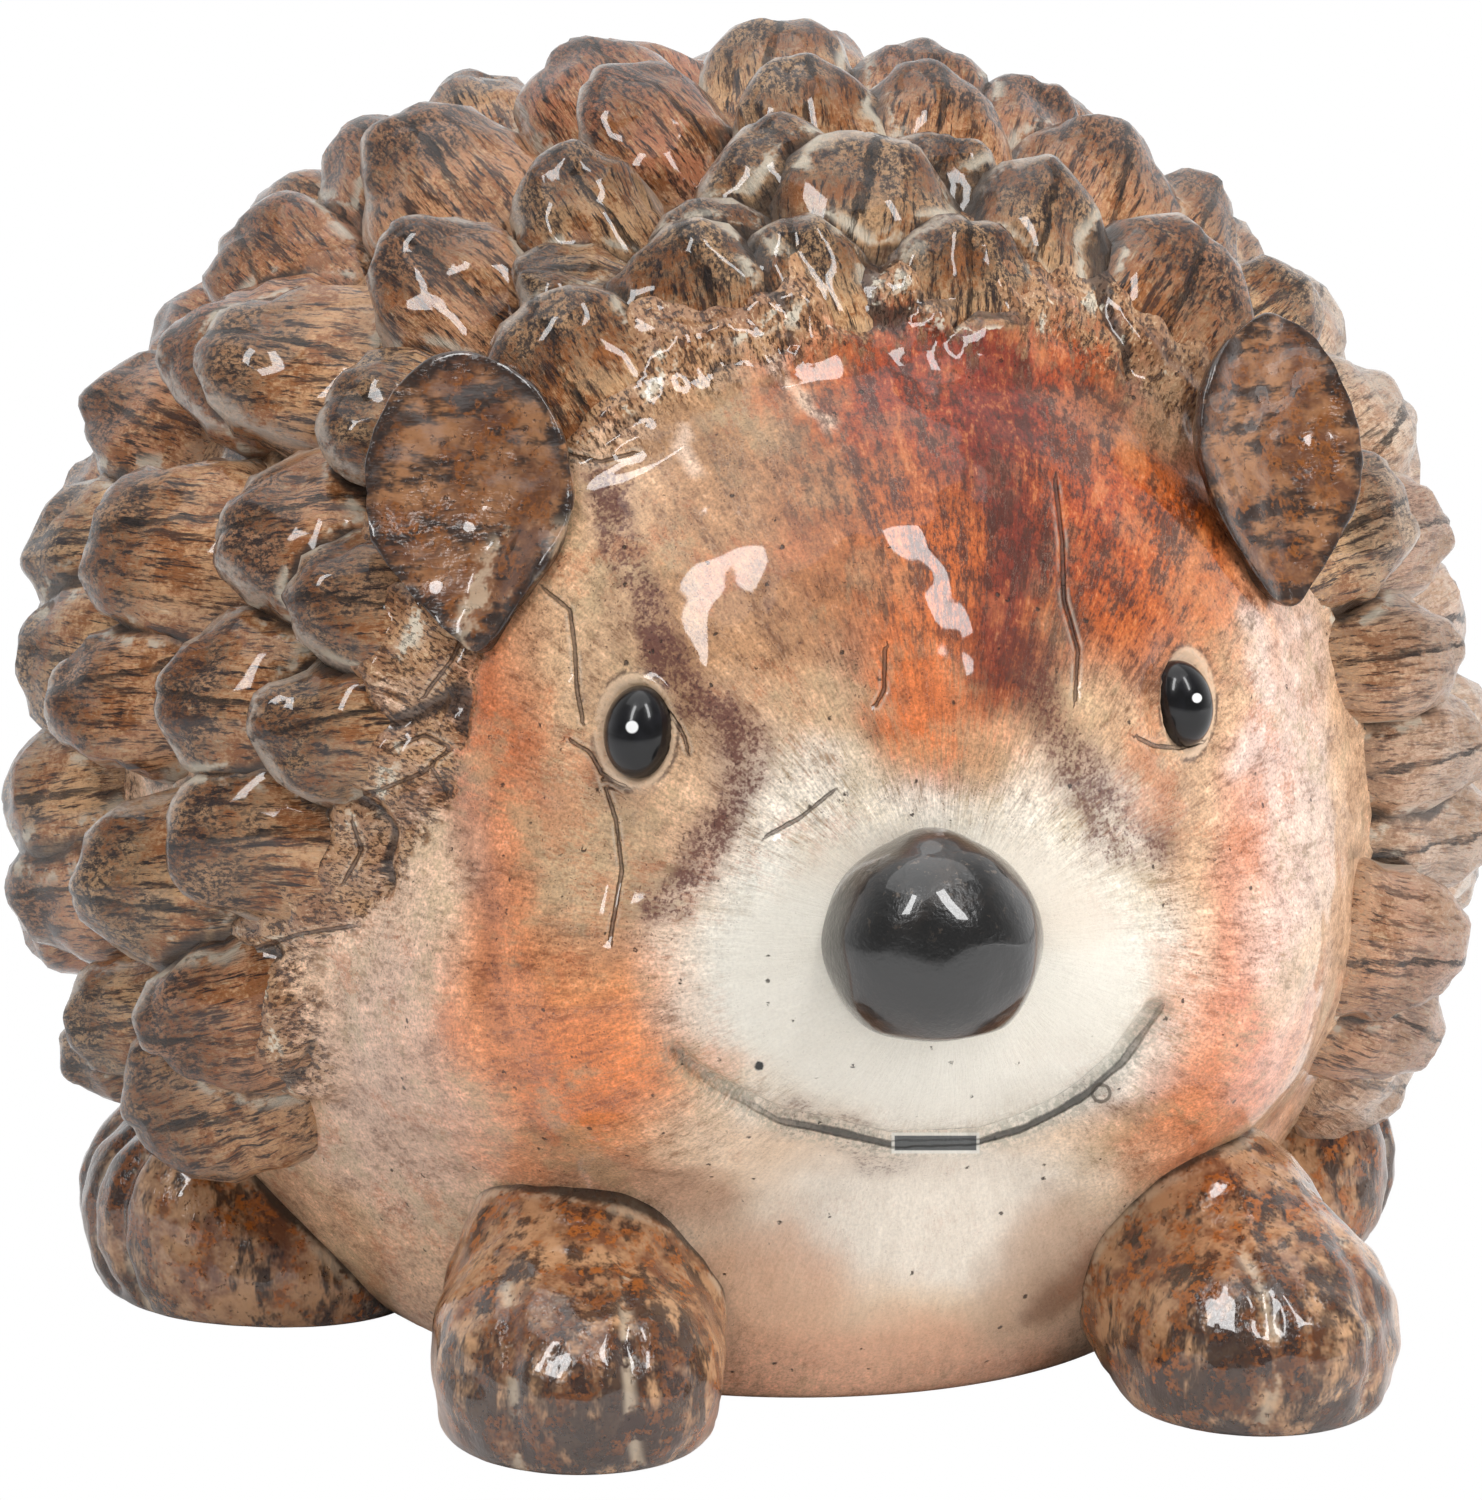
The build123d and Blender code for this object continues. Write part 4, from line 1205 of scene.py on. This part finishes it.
def makePaw(side, kind):
    sizes = pawSizes[kind]
    sign = 1 if side == "left" else -1
    angles = np.linspace(0, math.pi, pawSizes["rings"] + 2)
    points, faces, rays = makeSkin(sizes["start"], (0, -0.2, 1), (0, 1, 0), angles, pawSizes["segments"],
                                   lambda rays: pawReach(kind, rays))
    normals = outwardNormals(points, faces)
    away = points - np.array(sizes["start"])
    turn = math.radians(sizes["toeTurn"])
    ahead = away[:, 0] * math.sin(turn) - away[:, 1] * math.cos(turn)
    aside = away[:, 0] * math.cos(turn) + away[:, 1] * math.sin(turn)
    toeward = eased(ahead, 5.0, 10.0)
    rise = rough(points, 0.12, 51.0) * 0.8 + rough(points, 0.4, 53.0) * 0.3
    groove = np.full(len(points), 9.0)
    for place in sizes["toes"]:
        groove = np.minimum(groove, np.abs(aside - place - 0.08 * away[:, 2]))
    rise -= np.exp(-(groove / 0.9) ** 2) * sizes["toeDepth"] * toeward
    rise *= eased(points[:, 2], 0.1, 2.5)
    points = points + normals * rise[:, None]
    points[:, 2] = np.maximum(points[:, 2], 0)
    points[:, :2] += sizes["shift"][side]
    points[:, 0] *= sign
    if sign < 0:
        faces = [face[::-1] for face in faces]
    piece = addPiece(f"{side}{kind.title()}Paw", points, faces, pawGlaze)
    gap = np.maximum(bodyGap(points), 0)
    # the toe grooves count as gaps, so the paint darkens them as painted shade
    addFloat(piece.data, "gap", np.minimum(gap, np.where(toeward > 0.7, groove + 0.9, 9)))
    addFloat(piece.data, "rim", eased(ahead, 6.0, 14.0) * 0.7)
    return piece


# nose: a ball, flat underneath, with a low peak on top
noseSizes = {
    "centre": (-1.2, -70.0, 47.3),
    "radius": 9.35,
    "flat": 7.7,
    "flatBlend": 1.5,
    "peak": 0.35,
    "lump": 0.35,
    "segments": 128,
    "rings": 84,
}


def noseColour(tree):
    place = node(tree, "ShaderNodeTexCoord", {}, {}, 3)
    top = attribute(tree, "top")
    cloud = fine(tree, place, 300.0, 4.0, 0.7)
    speck = fine(tree, place, 1300.0, 3.0, 0.65)
    dusty = top.ramp(0.1, 0.9) * cloud.ramp(0.45, 0.62)
    colour = blend(tree, dusty * 0.35, ink(14, 13, 13), ink(74, 60, 50))
    colour = blend(tree, speck.ramp(0.6, 0.7) * top.ramp(0.0, 0.8) * 0.7, colour, ink(104, 90, 78))
    return colour, cloud * 0.5 + speck * 0.15, 0.0004


def makeNose():
    sizes = noseSizes
    angles = np.linspace(0, math.pi, sizes["rings"] + 2)

    def radiusOf(rays):
        whole = np.full(len(rays), sizes["radius"])
        down = np.maximum(-rays[:, 2], 1e-3)
        whole = -joined(-whole, -np.minimum(sizes["flat"] / down, 1e3), sizes["flatBlend"])
        return whole + np.exp(-((1 - rays[:, 2]) / 0.05) ** 2) * sizes["peak"]

    points, faces, rays = makeSkin(sizes["centre"], (0, 0, 1), (0, 1, 0), angles, sizes["segments"],
                                   radiusOf)
    points = points + rays * (rough(points, 0.2, 61.0) * sizes["lump"])[:, None]
    piece = addPiece("nose", points, faces, glaze("noseGlaze", noseColour, roughness=0.3, coat=1.0,
                                                  coatRoughness=0.03))
    addFloat(piece.data, "top", rays[:, 2])
    return piece


# eyes: black beads with a painted spark
eyeSizes = {
    "depth": 2.9,
    "sink": 0.9,
    "pixelsPerMm": 10.75,
    "firstGuess": 540.0,
    "stride": 0.8,
    "strides": 60,
    "probe": 0.8,
    "segments": 96,
    "rings": 64,
}
# each eye's white spark: its place from the middle of the eye and its radius, in the picture
eyeSparks = {"right": (-3, -4, 6.2), "left": (9, -4, 4.8)}


def eyeColour(tree):
    dot = attribute(tree, "dot")
    place = node(tree, "ShaderNodeTexCoord", {}, {}, 3)
    cloud = fine(tree, place, 500.0, 3.0, 0.6)
    colour = blend(tree, cloud.ramp(0.4, 0.7), ink(12, 12, 14), ink(24, 24, 28))
    colour = blend(tree, dot.ramp(1.15, 0.85), colour, ink(238, 238, 238))
    return colour, cloud * 0.1, 0.0002


# each eye sits where the line of sight through its middle meets the skin, and faces straight out from it
def makeEye(side):
    (x, y), (halfWide, halfTall) = eyePlaces[side]
    ray = lookAlong(x, y)
    far = eyeSizes["firstGuess"]
    for attempt in range(eyeSizes["strides"]):
        far += float(bodyGap((eyePoint + ray * far)[None, :])[0]) * eyeSizes["stride"]
    spot = eyePoint + ray * far
    steps = np.eye(3) * eyeSizes["probe"]
    outward = bodyGap(spot + steps) - bodyGap(spot - steps)
    outward /= np.linalg.norm(outward)
    sideways = np.cross([0, 0, 1], outward)
    sideways /= np.linalg.norm(sideways)
    top = np.cross(outward, sideways)
    scale = eyeSizes["pixelsPerMm"]
    slant = abs(float(sideways @ rightward))
    halves = np.array([halfWide / scale / slant, halfTall / scale, eyeSizes["depth"]])
    angles = np.linspace(0, math.pi, eyeSizes["rings"] + 2)
    ringOf, turnOf = skinAngles(angles, eyeSizes["segments"])
    out = np.sin(ringOf)
    local = np.stack([out * np.sin(turnOf), out * np.cos(turnOf), np.cos(ringOf)], 1)
    axes = np.stack([sideways, top, outward])
    points = spot - outward * eyeSizes["sink"] + (local * halves) @ axes
    faces = skinFaces(eyeSizes["rings"], eyeSizes["segments"])
    piece = addPiece(f"{side}Eye", points, faces, eyeGlaze)
    across, down = sightOf(points)
    sparkAcross, sparkDown, sparkSize = eyeSparks[side]
    spark = np.hypot(across - x - sparkAcross, down - y - sparkDown) / sparkSize
    addFloat(piece.data, "dot", spark)
    return piece


laid = fattened(layQuills())
print("quills laid:", len(laid))
bodyPiece = makeBody()
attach(bodyPiece, root)
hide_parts("body_shell", "muzzle_pad")
print("body: made")
for ring, piece in enumerate(makeQuills(laid)):
    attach(piece, root)
    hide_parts(f"quill_row_{ring + 1:02d}")
print("quills: made")
earGlaze = glaze("earGlaze", earColour, roughness=0.28, coat=0.9)
pawGlaze = glaze("pawGlaze", pawColour, roughness=0.26, coat=0.9)
eyeGlaze = glaze("eyeGlaze", eyeColour, roughness=0.25, coat=0.5, coatRoughness=0.03, specular=0.25)
for side in ("left", "right"):
    for piece, replaced, slot in (
        (makeEar(side), f"{side}_ear", "ear_glaze"),
        (makeEye(side), f"{side}_eye", "black_glaze"),
        (makePaw(side, "front"), f"{side}_front_paw", "paw_glaze"),
        (makePaw(side, "hind"), f"{side}_hind_paw", "paw_glaze"),
    ):
        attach(piece, root)
        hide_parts(replaced)
nosePiece = makeNose()
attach(nosePiece, root)
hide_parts("nose")
print("ears, eyes, paws and nose: made")


# the photographer's room: white paper, a surround that darkens toward the photographer, and four lamps
roomSizes = {
    "worldDark": 0.22,
    "worldPale": 1.0,
    "stripPower": 2.8,
    "overheadPower": 3.0,
    "fillPower": 6.0,
    "stripWidth": 0.13,
    "stripLength": 0.50,
    "overheadSize": 0.9,
    "fillSize": 0.6,
    "lampDistance": 0.95,
    "floorSize": 6.0,
    "floorDrop": 0.0002,
}
# the middle that the lamps point at, in metres
lampTarget = (0, -0.03, 0.05)


def makeSurround(scene):
    world = bpy.data.worlds.new("room")
    scene.world = world
    world.use_nodes = True
    tree = world.node_tree
    background = tree.nodes["Background"]
    ray = node(tree, "ShaderNodeTexCoord", {}, {}, 0)
    behind = node(tree, "ShaderNodeVectorMath", {"operation": "DOT_PRODUCT"},
                  {0: ray, 1: tuple(-backward)}, 1)
    level = behind.ramp(-0.5, 0.7)
    lit = blend(tree, level, (roomSizes["worldDark"],) * 3 + (1,), (roomSizes["worldPale"],) * 3 + (1,))
    seen = node(tree, "ShaderNodeLightPath", {}, {}, 0)
    colour = blend(tree, seen, lit, (1, 1, 1, 1))
    tree.links.new(colour.socket, background.inputs["Color"])


def makeFloor(scene):
    mesh = bpy.data.meshes.new("floor")
    half = roomSizes["floorSize"] / 2
    mesh.from_pydata([(-half, -half, 0), (half, -half, 0), (half, half, 0), (-half, half, 0)], [],
                     [(0, 1, 2, 3)])
    floor = bpy.data.objects.new("floor", mesh)
    floor.location.z = -roomSizes["floorDrop"]
    scene.collection.objects.link(floor)
    material = bpy.data.materials.new("floorPaper")
    material.use_nodes = True
    tree = material.node_tree
    shader = tree.nodes["Principled BSDF"]
    shader.inputs["Roughness"].default_value = 0.9
    shader.inputs["Base Color"].default_value = (0.9, 0.9, 0.9, 1)
    glow = node(tree, "ShaderNodeEmission", {}, {"Color": (1, 1, 1, 1), "Strength": 1.0})
    seen = node(tree, "ShaderNodeLightPath", {}, {}, 0)
    mixed = node(tree, "ShaderNodeMixShader", {}, {0: seen, 1: Wire(tree, shader.outputs[0]), 2: glow})
    tree.links.new(mixed.socket, tree.nodes["Material Output"].inputs["Surface"])
    mesh.materials.append(material)


# the fill only brightens the picture's right side: its mirror image would glare on the ear and the nose
def makeLamps(scene):
    strip = (roomSizes["stripWidth"], roomSizes["stripLength"], roomSizes["stripPower"])
    overhead = (roomSizes["overheadSize"], roomSizes["overheadSize"], roomSizes["overheadPower"])
    fill = (roomSizes["fillSize"], roomSizes["fillSize"], roomSizes["fillPower"])
    for name, direction, (width, length, power) in (
        ("leftStrip", (-0.38, 0.62, 0.69), strip),
        ("rightStrip", (0.36, 0.68, 0.64), strip),
        ("overhead", (-0.1, 0.95, 0.25), overhead),
        ("rightFill", (0.97, 0.1, 0.2), fill),
    ):
        light = bpy.data.lights.new(name, "AREA")
        light.shape = "RECTANGLE"
        light.size, light.size_y = width, length
        light.energy = power
        lamp = bpy.data.objects.new(name, light)
        scene.collection.objects.link(lamp)
        lamp.visible_glossy = name != "rightFill"
        way = rightward * direction[0] + upward * direction[1] + backward * direction[2]
        way /= np.linalg.norm(way)
        lamp.location = Vector(way * roomSizes["lampDistance"]) + Vector(lampTarget)
        lamp.rotation_mode = "QUATERNION"
        lamp.rotation_quaternion = Vector(way).to_track_quat("Z", "Y")


def makeCamera(scene):
    camera = bpy.data.cameras.new("camera")
    camera.lens = sightSizes["focal"] / sightSizes["height"] * camera.sensor_width
    taker = bpy.data.objects.new("camera", camera)
    scene.collection.objects.link(taker)
    taker.location = eyePoint * mm
    taker.rotation_mode = "QUATERNION"
    taker.rotation_quaternion = Vector(backward).to_track_quat("Z", "Y")
    camera.clip_start, camera.clip_end = 0.05, 20
    scene.camera = taker


room = bpy.context.scene
room.view_settings.view_transform = "Standard"
makeSurround(room)
makeFloor(room)
makeLamps(room)
makeCamera(room)
print("room: made")
